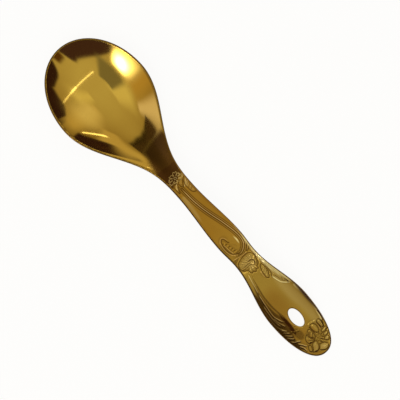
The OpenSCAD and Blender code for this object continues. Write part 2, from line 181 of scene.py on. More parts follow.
class SheetForm:
    """Formulas for the spoon's sheet: x runs from the bowl's tip, y across and z up, in metres."""

    # How the hollow's floor, the walls at the throat and the shoulders curve in towards the neck
    floor_power = 1.1
    rim_ease = 0.5
    shoulder_power = 1.3
    # How full the handle's end is drawn, and its slope there
    end_power = 2.2
    end_fall = 0.14
    # Step over which slopes are measured
    tick = 0.01 * MM

    def __init__(self, sizes):
        self.sizes = sizes
        self.belly = sizes.bowl_nose
        self.neck = self.belly + sizes.bowl_throat
        self.swell = self.neck + sizes.stem_rise
        self.waist = self.swell + sizes.stem_fall
        self.grip = self.waist + sizes.grip_rise
        self.end = self.grip + sizes.grip_end
        self.hole = self.end - sizes.hole_setback
        self.bowl_half = sizes.bowl_width / 2 - self.rolled(sizes.bowl_width / 2)
        self.nose = sizes.bowl_nose - self.rolled(sizes.bowl_nose)
        self.neck_half = self.face_half(sizes.neck_width, sizes.neck_thickness)
        self.stem_half = self.face_half(sizes.stem_width, sizes.handle_thickness)
        self.waist_half = self.face_half(sizes.waist_width, sizes.handle_thickness)
        self.grip_half = self.face_half(sizes.grip_width, sizes.handle_thickness)
        self.end_length = sizes.grip_end - self.edge_reach(sizes.handle_thickness, self.end_fall)
        rim = sizes.bowl_wall + sizes.bowl_depth
        # Place, height and slope along the rim and the middle of the handle
        self.spine = [
            (self.belly - self.nose, rim - sizes.tip_drop, 0.06),
            (self.belly, rim, 0),
            (self.neck, sizes.neck_height, 0.07),
            (self.swell, sizes.arch_height, -0.02),
            (self.grip + self.end_length, sizes.handle_thickness, -self.end_fall),
        ]

    @staticmethod
    def edge_reach(thickness, fall):
        """How far a half-round edge stands out past an upper face that falls towards it."""
        return thickness * (1 - math.sin(math.atan(fall))) / 2

    def rolled(self, half_span):
        """How far the rounded rim stands out past the upper face."""
        return self.edge_reach(self.sizes.bowl_wall, -2 * self.sizes.bowl_depth / half_span)

    def face_half(self, width, thickness):
        """Half width of the handle's upper face, inside its rounded edges."""
        beyond = max(width / 2 - self.sizes.shoulder_start, 0)
        fall = width / 2 / self.sizes.crown_radius + beyond / self.sizes.shoulder_radius
        return width / 2 - self.edge_reach(thickness, fall)

    @staticmethod
    def ease(start, end, x, x_start, x_end):
        """A smooth change from one value to another between two places."""
        share = np.clip((x - x_start) / (x_end - x_start), 0, 1)
        return start + (end - start) * (1 - np.cos(math.pi * share)) / 2

    def throat(self, x):
        """How far the bowl still reaches past the widest place in width, from 1 to 0."""
        share = np.clip((x - self.belly) / self.sizes.bowl_throat, 0, 1)
        return ((1 + np.cos(math.pi * share)) / 2) ** self.shoulder_power

    def throat_depth(self, x):
        """How far the bowl still reaches past the widest place in depth, from 1 to 0."""
        share = np.clip((x - self.belly) / self.sizes.bowl_throat, 0, 1)
        return self.ease(1, 0, share ** self.floor_power, 0, 1)

    def nose_share(self, x):
        """1 at the widest place and 0 at the bowl's tip."""
        return np.clip(1 - ((self.belly - x) / self.nose) ** 2, 0, 1)

    def end_share(self, x):
        """1 at the grip's widest place and 0 at the handle's end."""
        reach = np.clip((x - self.grip) / self.end_length, 0, 1)
        return (1 - reach ** self.end_power) ** (1 / self.end_power)

    def half_width(self, x):
        """Half width of the upper face."""
        return np.select(
            [x < self.belly, x < self.neck, x < self.swell, x < self.waist, x < self.grip],
            [
                self.bowl_half * np.sqrt(self.nose_share(x)),
                self.neck_half + (self.bowl_half - self.neck_half) * self.throat(x),
                self.ease(self.neck_half, self.stem_half, x, self.neck, self.swell),
                self.ease(self.stem_half, self.waist_half, x, self.swell, self.waist),
                self.ease(self.waist_half, self.grip_half, x, self.waist, self.grip),
            ],
            self.grip_half * self.end_share(x))

    def outward(self, x, side):
        """Direction in plan that points out of the outline, on one side."""
        along_nose = (x - self.belly) / self.nose ** 2
        across_nose = self.half_width(x) / self.bowl_half ** 2
        slope = (self.half_width(x - self.tick) - self.half_width(x + self.tick)) / (2 * self.tick)
        reach = np.clip((x - self.grip) / self.end_length, 0, 1)
        along_end = reach ** (self.end_power - 1) / self.end_length
        across_end = self.end_share(x) ** (self.end_power - 1) / self.grip_half
        zones = [x < self.belly, x <= self.grip]
        along = np.select(zones, [along_nose, slope], along_end)
        across = side * np.select(zones, [across_nose, np.ones_like(x)], across_end)
        size = np.hypot(along, across)
        return along / size, across / size

    def spine_height(self, x):
        """Height of the rim and of the handle's middle line."""
        height = np.zeros_like(x)
        for (x0, z0, slope0), (x1, z1, slope1) in zip(self.spine, self.spine[1:]):
            run = x1 - x0
            t = (x - x0) / run
            s = 1 - t
            curve = z0 * s * s * (1 + 2 * t) + z1 * t * t * (3 - 2 * t)
            curve = curve + run * (slope0 * t * s * s - slope1 * t * t * s)
            height = np.where((x >= x0) | (x0 == self.spine[0][0]), curve, height)
        return height

    def top_height(self, x, y):
        """Height of the smooth upper face."""
        share_in = 1 - (y / np.maximum(self.half_width(x), self.tick)) ** 2
        round_power = 1 + self.rim_ease * (1 - self.throat(x))
        hollow = np.select(
            [x < self.belly, x < self.neck],
            [
                1 - ((self.belly - x) / self.nose) ** 2 - (y / self.bowl_half) ** 2,
                self.throat_depth(x) * np.sign(share_in) * np.abs(share_in) ** round_power,
            ],
            0)
        beyond = np.maximum(np.abs(y) - self.sizes.shoulder_start, 0)
        crown = y ** 2 / (2 * self.sizes.crown_radius) + beyond ** 2 / (2 * self.sizes.shoulder_radius)
        crown = crown * (1 - self.throat(x)) ** 3
        return self.spine_height(x) - self.sizes.bowl_depth * hollow - crown

    def slopes(self, x, y):
        """Slopes of the upper face along and across."""
        step = self.tick
        along = (self.top_height(x + step, y) - self.top_height(x - step, y)) / (2 * step)
        across = (self.top_height(x, y + step) - self.top_height(x, y - step)) / (2 * step)
        return along, across

    def normal(self, x, y):
        """Direction that points up out of the upper face."""
        along, across = self.slopes(x, y)
        up = np.stack([-along, -across, np.ones_like(along)], -1)
        return up / np.linalg.norm(up, axis=-1, keepdims=True)

    def thickness(self, x):
        """Thickness of the sheet."""
        sizes = self.sizes
        thin_x = self.neck - 2 * sizes.neck_lead
        to_neck = self.ease(sizes.bowl_wall, sizes.neck_thickness, x, thin_x, self.neck)
        to_handle = self.ease(sizes.neck_thickness, sizes.handle_thickness, x, self.neck, self.swell)
        return np.where(x < self.neck, to_neck, to_handle)

    def over(self, x, y):
        """Points of the upper face in the spoon's frame."""
        return np.stack([x + TIP_X, y, self.top_height(x, y) + FLOOR_Z], -1)

    def hole_share(self, x, y):
        """1 on the outline of the hanging hole, less inside it and more outside."""
        return np.hypot((x - self.hole) / (self.sizes.hole_length / 2), y / (self.sizes.hole_width / 2))

    def hole_lip(self, x, y):
        """How far the hole's rounded edge falls below the sheet."""
        mean_radius = (self.sizes.hole_length / 2 + self.sizes.hole_width / 2) / 2
        radius = self.sizes.hole_round
        gap = np.clip((self.hole_share(x, y) - 1) * mean_radius, 0, radius)
        return radius - np.sqrt(np.maximum(radius ** 2 - (radius - gap) ** 2, 0))


def curve_through(points, closed=False, steps=8):
    """Points along a smooth curve through a few points, which may close on itself."""
    given = np.array(points, float)
    if closed:
        ends = np.vstack([given[-1:], given, given[:2]])
        last = given[:1]
    else:
        ends = np.vstack([2 * given[0] - given[1], given, 2 * given[-1] - given[-2]])
        last = given[-1:]
    t = np.linspace(0, 1, steps, endpoint=False)[:, None]
    runs = []
    for a, b, c, d in zip(ends, ends[1:], ends[2:], ends[3:]):
        bend = a - 2.5 * b + 2 * c - d / 2
        runs.append(b + t * ((c - a) / 2 + t * (bend + t * (1.5 * (b - c) + (d - a) / 2))))
    return np.vstack(runs + [last])


def smooth_step(share):
    """A smooth change from 0 to 1 as the share goes from 0 to 1."""
    share = np.clip(share, 0, 1)
    return share * share * (3 - 2 * share)


def points_round(middle, polar, stretch=1):
    """Points round a middle from their reaches and turns in degrees, stretched across the handle."""
    ways = [(reach, math.radians(turn)) for reach, turn in polar]
    return [
        (middle[0] + reach * math.cos(way), middle[1] + stretch * reach * math.sin(way))
        for reach, way in ways]


class Relief:
    """Heights of the ornament over one stretch of the upper face, with its painted shade and painted
    highlight, drawn in millimetres.

    A place is its distance from the bowl's tip along the spoon and from the middle line across it.
    """

    # A distance for places that a curve doesn't reach
    far = 1e3
    # Width, depth and painted shade of the fine valley round a mound
    moat_width = 1
    moat_depth = 0.1
    moat_shade = 0.9

    def __init__(self, x, y):
        self.x = x / MM
        self.y = y / MM
        self.raised = np.zeros_like(x)
        self.sunk = np.zeros_like(x)
        # Share of painted shade over the face
        self.shaded = np.zeros_like(x)
        # Share of painted highlight over the face
        self.polished = np.zeros_like(x)
        self.ribbed = np.zeros_like(x)

    def raise_to(self, height):
        """Raises the face to a height where it is lower."""
        self.raised = np.maximum(self.raised, height)

    def cut(self, depth):
        """Cuts the face down to a depth where it is higher."""
        self.sunk = np.maximum(self.sunk, depth)

    def darken(self, share):
        """Paints shade on the ground, at least this dark."""
        self.shaded = np.maximum(self.shaded, share)

    def brighten(self, share):
        """Paints a highlight on the ground, at least this pale."""
        self.polished = np.maximum(self.polished, share)

    def nearest(self, line, reach):
        """Share of the way along a line and distance from it, positive on its left."""
        start, run = line[:-1], np.diff(line, axis=0)
        size = np.hypot(run[:, 0], run[:, 1])
        travelled = np.concatenate([[0], np.cumsum(size)])
        low, high = line.min(0) - reach, line.max(0) + reach
        near = (self.x > low[0]) & (self.x < high[0]) & (self.y > low[1]) & (self.y < high[1])
        offset = np.stack([self.x[near], self.y[near]], -1)[:, None, :] - start
        share = np.clip((offset * run).sum(-1) / size ** 2, 0, 1)
        gap = offset - share[..., None] * run
        distance = np.hypot(gap[..., 0], gap[..., 1])
        best = distance.argmin(1)
        pick = np.arange(len(best)), best
        turn = run[best, 0] * offset[pick][:, 1] - run[best, 1] * offset[pick][:, 0]
        t = np.zeros_like(self.x)
        d = np.full_like(self.x, self.far)
        t[near] = (travelled[best] + share[pick] * size[best]) / travelled[-1]
        d[near] = np.where(turn < 0, -1, 1) * distance[pick]
        return t, d

    @staticmethod
    def taper(t, ends):
        """1 along a curve, falling off over a share of it at each end."""
        return np.sqrt(np.clip(np.minimum(t, 1 - t) / ends, 0.02, 1))

    @staticmethod
    def dome(share_out):
        """A rounded top with a smooth foot: 1 in the middle, 0 from 1 outwards."""
        return (1 + np.cos(math.pi * np.clip(np.abs(share_out), 0, 1))) / 2

    def rib(self, points, width, height, offset=0, ends=0.12, sheen=0):
        """A rounded ridge along a curve, or beside it, with painted highlight on it in the share asked
        for.
        """
        t, d = self.nearest(curve_through(points), width + abs(offset))
        swell = self.taper(t, ends)
        share = swell * self.dome((d - offset) / (width / 2 * swell))
        self.raise_to(height * share)
        self.brighten(sheen * share)
        self.ribbed = np.maximum(self.ribbed, share)

    def groove(self, points, width, depth, ends=0.15):
        """A rounded valley along a curve."""
        t, d = self.nearest(curve_through(points), width)
        swell = self.taper(t, ends)
        self.cut(depth * swell * self.dome(d / (width / 2 * swell)))

    def strokes(self, lines, width, depth, shade_width, shade):
        """Fine valleys along some curves, with painted shade along each."""
        for points in lines:
            self.groove(points, width, depth)
            self.shade_along(points, shade_width, shade)

    def inside(self, outline):
        """Distance in from a closed outline, less than 0 outside it."""
        loop = curve_through(outline, closed=True)
        gap = np.abs(self.nearest(loop, self.moat_width)[1])
        within = np.zeros(self.x.shape, bool)
        for (x0, y0), (x1, y1) in zip(loop, loop[1:]):
            if y0 != y1:
                passes = (y0 > self.y) != (y1 > self.y)
                within ^= passes & (self.x < x0 + (self.y - y0) * (x1 - x0) / (y1 - y0))
        return np.where(within, gap, -gap)

    def mound(self, outline, height, shoulder, sheen=0.1):
        """A patch inside a closed outline, with a rounded shoulder and painted highlight, and a fine
        valley with painted shade all round it.
        """
        inside = self.inside(outline)
        self.brighten(sheen * np.clip(inside / shoulder, 0, 1))
        self.shaded *= 1 - np.clip(inside / self.moat_width, 0, 1)
        self.raise_to(height * self.dome(np.maximum(1 - inside / shoulder, 0)))
        moat = self.dome(inside / (self.moat_width / 2))
        self.cut(self.moat_depth * moat)
        self.darken(self.moat_shade * moat)

    def shade(self, outline, amount, soft):
        """Painted shade inside a closed outline."""
        self.darken(amount * smooth_step(self.inside(outline) / soft))

    def shade_along(self, points, width, amount, offset=0):
        """Painted shade along a curve, or beside it."""
        d = self.nearest(curve_through(points), width + abs(offset))[1]
        self.darken(amount * np.sqrt(self.dome((d - offset) / (width / 2))))

    def sheen(self, outline, amount, soft):
        """Painted highlight inside a closed outline."""
        self.brighten(amount * smooth_step(self.inside(outline) / soft))

    def bank(self, points, height, rise, fall, sheen=0):
        """A bank on the right of a curve: a steep rise beside it and a long fall away from it, with
        painted highlight on it in the share asked for.
        """
        t, d = self.nearest(curve_through(points), 4 * fall)
        away = np.clip(-d, 0, None)
        step = 1 - np.exp(-away / rise)
        share = np.where(d < 0, self.taper(t, 0.3) * step * np.exp(-(away / fall) ** 2), 0)
        self.raise_to(height * share)
        self.brighten(sheen * share)

    def petal(self, middle, along, across, turn, height):
        """A domed petal round its middle, turned by degrees."""
        way = math.radians(turn)
        dx, dy = self.x - middle[0], self.y - middle[1]
        p = (dx * math.cos(way) + dy * math.sin(way)) / along
        q = (dy * math.cos(way) - dx * math.sin(way)) / across
        self.raise_to(height * self.dome(np.hypot(p, q)))


def neck_shade(relief, ornament):
    """Painted shade at the narrow end of the bowl and round the neck's blossom, standing in for dark
    surroundings mirrored there.
    """
    throat = [(77, 16), (77, -3), (84, -6.5), (93, -9), (105, -10), (105, 10)]
    relief.shade(throat, amount=0.9, soft=4.5)
    round_blossom = [
        (95, 8.5), (101, 8), (103.2, 4.8), (106, 2.8), (107.6, 0), (107.8, -2.2), (109.5, -4),
        (110, -7.5), (95, -9)]
    relief.shade(round_blossom, amount=0.95, soft=2)


def neck_sprig(relief, ornament):
    """Ruffled blossom across the neck, with three veined leaves beside it."""
    petal, leaf = ornament.petal_height / MM, ornament.leaf_height / MM
    vein = ornament.vein_depth / MM
    middle = (104.2, 0.3)
    petals = 8
    first_turn = 20
    # Reach and turn along the ruffled edge of one petal
    ruffle = [(1.1, -13), (2.3, -18), (3.1, -9), (2.7, 1), (3.3, 10), (2.5, 19), (1.2, 12)]
    # Painted highlight along the petals' ruffled edges, the eye and the ridges
    for i in range(petals):
        # No two petals are quite the same size
        swell = 1 + 0.14 * math.sin(2.4 * i)
        edge = [(swell * reach, 360 / petals * i + first_turn + turn) for reach, turn in ruffle]
        relief.rib(points_round(middle, edge, 1.5), width=0.65, height=petal * 0.9, ends=0.05, sheen=0.4)
    eye = [(0.75, turn) for turn in range(0, 361, 45)]
    relief.rib(points_round(middle, eye), width=0.55, height=petal * 0.9, ends=0.02, sheen=0.6)
    upper = [
        (106.7, 5.3), (107.6, 3.6), (110.4, 2.3), (113.4, 2.3), (116.6, 2.8), (117.8, 4.9), (113, 5.1),
        (109.5, 5.4)]
    middle_leaf = [(107, 3), (107, 0.6), (108.4, -0.5), (111.4, 0.5), (109.4, 1.6)]
    lower = [(107, -1.2), (107, -2.8), (108.6, -3.9), (113, -3.7), (110.8, -2.4), (108.8, -1.5)]
    for outline in (upper, middle_leaf, lower):
        relief.mound(outline, leaf, shoulder=1.6)
    veins = [
        [(108.4, 3.3), (110.2, 2.4)], [(109.2, 5), (110.6, 4.2), (111.8, 3)],
        [(111.6, 5.2), (112.4, 4.2), (113.6, 2.6)], [(114, 5), (114.6, 4), (115.4, 3)],
        [(108.4, -0.1), (109.2, 0.6), (110.6, 0.6)], [(108.4, -2.2), (110, -2.7), (112.2, -3.5)]]
    # Painted shade along the veins
    relief.strokes(veins, width=0.7, depth=vein, shade_width=0.6, shade=0.6)
    ridges = [
        [(107.6, 5.6), (109.2, 4), (110.8, 2.2), (111.6, 0.9)],
        [(109.8, 5.2), (110.8, 3.8), (112.2, 2.6)], [(107.4, -1.3), (108.6, -2.6), (110.6, -3.4)]]
    for points in ridges:
        relief.rib(points, width=0.7, height=leaf, sheen=0.5)


# Middle one of the three ribs that run side by side up the stem and round the scroll
SCROLL_RUN = [
    (111.6, -1.1), (116, -0.9), (121, -0.6), (127, 0.2), (131, 1), (136, 2.2), (141, 3.6), (146, 4.7),
    (150, 5.5), (154, 6), (157.5, 5.8), (160.3, 4.6), (162, 2.6), (163, 0.4), (162.9, -1.4),
]
SCROLL_HOOK = [
    (162, -3.2), (160.6, -4.8), (158.6, -5.8), (156, -6.2), (153, -6), (150.6, -5.2), (149.2, -3.8),
    (149.3, -2.5), (150.6, -1.6), (153, -1.1),
]


def stem_scroll(relief, ornament):
    """Three ribs up the stem, the middle one closing round the scroll, and the smooth tongue inside."""
    height = ornament.rib_height / MM
    spacing = 1.08
    tongue = [
        (130, -0.6), (138, 1.4), (145, 2.9), (150, 3.8), (154.5, 4.2), (158, 3.6), (159.8, 2),
        (159.8, 0.2)]
    # Painted shade along the whole scroll
    relief.shade_along(SCROLL_RUN, width=4, amount=0.35)
    # Painted shade beside the ribs, darkest next to the middle one
    for offset in (-1.6, -0.55, 0.55, 1.6):
        relief.shade_along(SCROLL_RUN, width=0.75, amount=1 if abs(offset) < 1 else 0.75, offset=offset)
    relief.shade_along(SCROLL_RUN[-1:] + SCROLL_HOOK, width=0.9, amount=0.9, offset=-0.7)
    relief.bank(tongue, height, rise=0.5, fall=3.2)
    # Painted highlight along the middle rib, on the stem's lower side and as a glint near the tongue's
    # end
    relief.rib(SCROLL_RUN, width=0.9, height=height, ends=0.08, sheen=0.15)
    lower_side = [(116, -2), (124, -2.4), (131, -3.4), (135, -5.5), (126, -6.5), (116, -5.6)]
    relief.sheen(lower_side, amount=0.13, soft=1.6)
    gleam = [(152, 3), (154.5, 3.9), (157, 3.7), (158.4, 2.8), (155.5, 2.7)]
    relief.sheen(gleam, amount=0.9, soft=0.6)
    relief.rib(SCROLL_RUN[-1:] + SCROLL_HOOK, width=1.15, height=height * 0.7, ends=0.08)
    for offset in (-spacing, spacing):
        relief.rib(SCROLL_RUN, width=0.8, height=height * 0.5, offset=offset, ends=0.2)


def scroll_leaf(relief, ornament):
    """Toothed leaf that curls back inside the scroll."""
    height = ornament.leaf_height / MM * 1.3
    strokes = [
        [(153.5, -3.5), (154.3, -2.2)], [(155.6, -3.1), (156.4, -1.7)], [(157.6, -2.7), (158.2, -1.3)],
        [(159.4, -2.4), (159.9, -0.9)]]
    # Painted shade between the teeth
    for points in strokes:
        relief.shade_along(points, width=0.7, amount=0.9)
    relief.petal((152.2, -3.9), along=1.7, across=0.95, turn=12, height=height)
    teeth = [((154.6, -3), 125), ((156.6, -2.5), 120), ((158.5, -2.1), 115), ((160.2, -1.8), 105)]
    for middle, turn in teeth:
        relief.petal(middle, along=1.5, across=0.75, turn=turn, height=height)
    relief.rib([(160.8, -3.4), (158, -4.2), (155, -4.5), (152.6, -4.7)], width=0.9, height=height * 0.8)


def waist_blossom(relief, ornament):
    """Round blossom, fluted towards the stem and ruffled towards the grip, with a small eye."""
    petal, vein = ornament.petal_height / MM, ornament.vein_depth / MM
    blossom = [
        (165.7, 3.3), (165.4, 1), (165.6, -1.3), (166.2, -3.7), (167.2, -5.6), (169, -6.6), (171, -6.6),
        (172.3, -5.6), (172.9, -4.4), (173.5, -3.4), (175, -3.3), (176.3, -2.6), (175.9, -1.5),
        (177, -0.4), (176, 0.7), (176.4, 2.1), (175, 2.2), (174.4, 3.3), (173.3, 4.4), (171.5, 4.7),
        (170, 5.1), (168.5, 5.2), (166.8, 4.6)]
    relief.mound(blossom, petal, shoulder=1.8)
    relief.petal((171.3, 1.5), along=0.85, across=0.85, turn=0, height=petal * 1.6)
    round_eye = [(169.6, -0.2), (169.7, 1.2), (170.2, 2.4), (171.2, 2.9), (172.3, 2.7), (173.2, 1.9)]
    # Painted shade along the eye's ring, the strokes and the valleys
    relief.strokes([round_eye], width=0.9, depth=vein, shade_width=1.1, shade=1)
    strokes = [
        [(171.9, 4.8), (173, 3.9), (173.6, 2.9)], [(172.2, 0.6), (172, -0.6)],
        [(170.7, 0.4), (171, -0.4)], [(170.8, 0), (170.7, -2), (170.8, -4), (170.4, -6)],
        [(171.8, -0.4), (171.9, -2.2), (172, -4), (171.6, -5.6)]]
    relief.strokes(strokes, width=0.75, depth=vein, shade_width=0.75, shade=0.8)
    valleys = [
        [(169.7, 2.4), (168.2, 3), (166.7, 3.3)], [(169.5, 1.3), (168, 1.1), (166.1, 0.9)],
        [(169.5, 0.2), (168.2, -0.6), (166.1, -1.2)], [(169.8, -0.5), (168.9, -1.9), (166.5, -3.5)],
        [(170.2, -1), (169.6, -2.9), (167.4, -5.3)], [(170.5, -2), (170.2, -3.9), (169, -6)],
        [(172.7, 0.8), (174, 1.5), (175, 2)], [(172.8, 0), (174.4, 0.3), (175.8, 0.6)],
        [(172.8, -0.8), (174.2, -1.1), (175.7, -1.5)], [(172.6, -1.6), (173.2, -2.4), (173.6, -3.2)],
    ]
    relief.strokes(valleys, width=0.75, depth=vein, shade_width=0.5, shade=0.45)
    # Painted shade beside the blossom
    beside = [(163.9, -2.2), (165, -2.6), (166.2, -5), (167, -6.4), (166, -7.6), (163.6, -7.6)]
    relief.shade(beside, amount=0.55, soft=0.9)


def waist_leaves(relief, ornament):
    """Border lines at the waist, and the pointed and the curled leaf along the grip's edge."""
    leaf, rib = ornament.leaf_height / MM, ornament.rib_height / MM
    vein = ornament.vein_depth / MM
    # Painted highlight along the grip's upper edge
    edge = [
        (143, 9.5), (150, 10.5), (160, 10.5), (168, 10), (176, 10.5), (186, 12.5), (200, 17),
        (198, 12.6), (187, 7.6), (176, 5.4), (166, 5.4), (160, 5.7), (154, 6.7), (148, 7.1)]
    relief.sheen(edge, amount=0.7, soft=1.4)
    relief.rib([(163.6, 6), (167, 6), (171.4, 5.9)], width=1.1, height=rib, ends=0.06)
    cross_line = [(164.4, 3.4), (164.7, 1), (164.4, -1.6), (163.9, -4), (163.4, -6.4)]
    relief.rib(cross_line, width=1, height=rib * 0.8)
    corner = [(160.9, 6.8), (161.9, 5.5), (163.4, 4), (164.4, 3.3), (164.2, 4.5), (163.1, 6.5)]
    relief.mound(corner, rib, shoulder=0.8)
    pointed = [
        (175.6, 4.9), (176.4, 3.6), (178.6, 2.6), (181, 2.2), (183.4, 2), (184.5, 2.6), (184.4, 3.6),
        (182, 5.1), (179.5, 5.5), (177.2, 5.4)]
    relief.mound(pointed, leaf, shoulder=1.6)
    curled = [
        (172.6, 6.4), (175.2, 5.8), (176.4, 6.2), (180, 6.3), (183.6, 5.9), (185, 4.9), (187.2, 5.5),
        (189.6, 6.1), (190.7, 6.8), (192.4, 7.6), (193.4, 9), (194.4, 10.2), (192, 10.4), (188, 9.5),
        (182, 8.2), (176, 7.2)]
    # Painted highlight on the curled leaf, its curl, lip and fold
    relief.mound(curled, leaf * 0.5, shoulder=1.6, sheen=0.05)
    curl = [(194.2, 10.2), (193, 8.8), (191.6, 7.4), (189.6, 6.4), (187.2, 5.7), (185, 5.1)]
    relief.bank(curl, leaf * 0.6, rise=0.5, fall=2.6, sheen=0.2)
    lip = [(195, 10.8), (194.2, 10), (193, 8.6), (191.6, 7.2), (189.6, 6.2), (187.2, 5.5), (185, 4.9)]
    relief.rib(lip, width=1, height=rib * 0.5, sheen=1.2)
    fold = [(184.6, 5.4), (183.6, 5.9), (180, 6.3), (176.4, 6.2), (172.6, 6.4)]
    relief.bank(fold, leaf * 0.6, rise=0.5, fall=2, sheen=0.3)
    relief.rib([(178.6, 1.7), (181.4, 1.4), (183.4, 1.7)], width=0.8, height=rib * 0.7)
    veins = [
        [(176.8, 5), (177.6, 4.2), (178, 3.1)], [(178.2, 5.2), (179.5, 4.1), (180.2, 2.7)],
        [(180.3, 5.1), (181.6, 4.1), (182.4, 2.7)], [(182.2, 4.7), (183, 3.8), (183.6, 2.8)],
        [(178, 6.9), (182, 6.9), (185.4, 6.3), (188, 7.1), (190.4, 7.5), (191.7, 8.2)],
        [(176, 6.6), (182, 7.7), (187, 8.6)],
    ]
    # Painted shade along the curled leaf's inner lines and round its tip
    relief.shade_along([(176.3, 6.7), (180, 7.6), (184.5, 8.8), (189, 9.7)], width=1, amount=0.75)
    relief.shade_along([(186, 6.6), (188, 7.3), (190, 7.9), (191.5, 8.2)], width=0.7, amount=0.7)
    tip = [(189.2, 9.2), (190.3, 8.4), (191.8, 8.6), (192, 9.4), (190.9, 9.8)]
    relief.shade_along(tip, width=0.7, amount=0.85)
    for points in veins:
        relief.groove(points, width=0.75, depth=vein)


def edge_ribs(relief, ornament):
    """Ribs that follow the grip's edge beside its smooth field."""
    rib, vein = ornament.rib_height / MM, ornament.vein_depth / MM
    # Painted shade over the ground along the lower edge, in a dip beside the hole, round the beads and
    # along the field's edge
    ground = [
        (178, -4.9), (184, -5.9), (190, -6.8), (196, -7.3), (202, -7), (208, -5.6), (214, -5.3),
        (219, -7), (224, -8.4), (230, -7.6), (231, -9.6), (225, -12.6), (214, -14), (204, -13.6),
        (194, -11.4), (184, -8.6)]
    relief.shade(ground, amount=0.75, soft=1.4)
    dip = [
        (200, -6.6), (205, -5.6), (208.5, -4.7), (212, -4.5), (216, -4.6), (220, -5.4), (221, -7.4),
        (216, -8.4), (210, -8.2), (204, -7.4)]
    relief.shade(dip, amount=1, soft=1.1)
    round_beads = [(216, -5.5), (219, -2.6), (224, -2.4), (226, -5), (224, -8), (218, -8.5)]
    relief.shade(round_beads, amount=0.55, soft=1.5)
    field_edge = [
        (176.8, -3.6), (180, -4.7), (184, -5.4), (188, -6.1), (192, -6.7), (196, -6.9), (200, -6.7),
        (204, -6.1), (207.5, -5.3), (210, -5.2)]
    relief.groove(field_edge, width=1.4, depth=vein)
    relief.shade_along(field_edge[2:], width=1.3, amount=0.7, offset=-0.3)
    # Painted highlight over the field and along the upper edge
    field = [
        (186, 3.5), (200, 2.5), (210, 4), (218, 4.5), (222, 4), (225, 10), (216, 14), (200, 13),
        (192, 10.5)]
    relief.sheen(field, amount=0.12, soft=4)
    upper_edge = [
        (197, 10.8), (205, 11.6), (214, 11.6), (220, 10.4), (224, 9.8), (222, 14), (212, 16), (198, 15)]
    relief.sheen(upper_edge, amount=0.6, soft=1.2)
    lines = [
        [(188, -8), (192, -8.7), (198, -9.5), (203, -9.9), (206, -9.3), (209, -8), (210.5, -6.9)],
        [(176, -5.3), (182, -6.6), (188, -8)],
        [(195, -10.3), (198, -10.8), (204, -11.3), (208.5, -11), (211.5, -10.2)],
        [(204.5, -10.6), (208, -10.2), (210.5, -9.2), (213, -8.3)],
        [(197, -11.9), (205, -12.5), (209, -12.5), (211.5, -11.8), (213.5, -10.8), (215.2, -9.3)],
    ]
    # Painted highlight along each rib
    for points, share in zip(lines, (1, 0.5, 1, 0.7, 0.6)):
        relief.rib(points, width=1, height=rib * share, sheen=0.35)
    beside_hole = [(207.6, -3.5), (210, -4.3), (212.6, -4.6), (215.2, -4.2), (216.8, -3.5)]
    relief.rib(beside_hole, width=0.9, height=rib * 0.6)
    relief.groove([(208.5, -5.9), (212.4, -6.2), (216.4, -6.2)], width=2.4, depth=vein, ends=0.4)


def edge_strands(relief, ornament):
    """Strands in pairs that flow from the edge up to the end's blossom, and the beads before them."""
    rib = ornament.rib_height / MM
    strands = [
        [(212.8, -12), (214.2, -10.6), (215.6, -9.4)], [(214.4, -12.2), (216.4, -10.1), (217.6, -9)],
        [(216.2, -12.4), (218.4, -10.4), (220, -8.7)], [(218, -12.4), (220.2, -10.7), (221.8, -9)],
        [(221, -12.2), (223.2, -10.5), (224.3, -8.3), (225.4, -7)],
        [(225.2, -9.6), (227.4, -7.8), (230, -6.4)], [(226.8, -9.9), (229.4, -8.4), (232.2, -8.1)]]
    # Painted highlight along each strand
    for points in strands:
        relief.rib(points, width=0.95, height=rib, sheen=0.3)
    for middle in ((217.6, -7.6), (218.5, -6.4), (219, -5.2), (219.4, -4.1)):
        relief.petal(middle, along=0.75, across=0.6, turn=30, height=rib * 0.8)


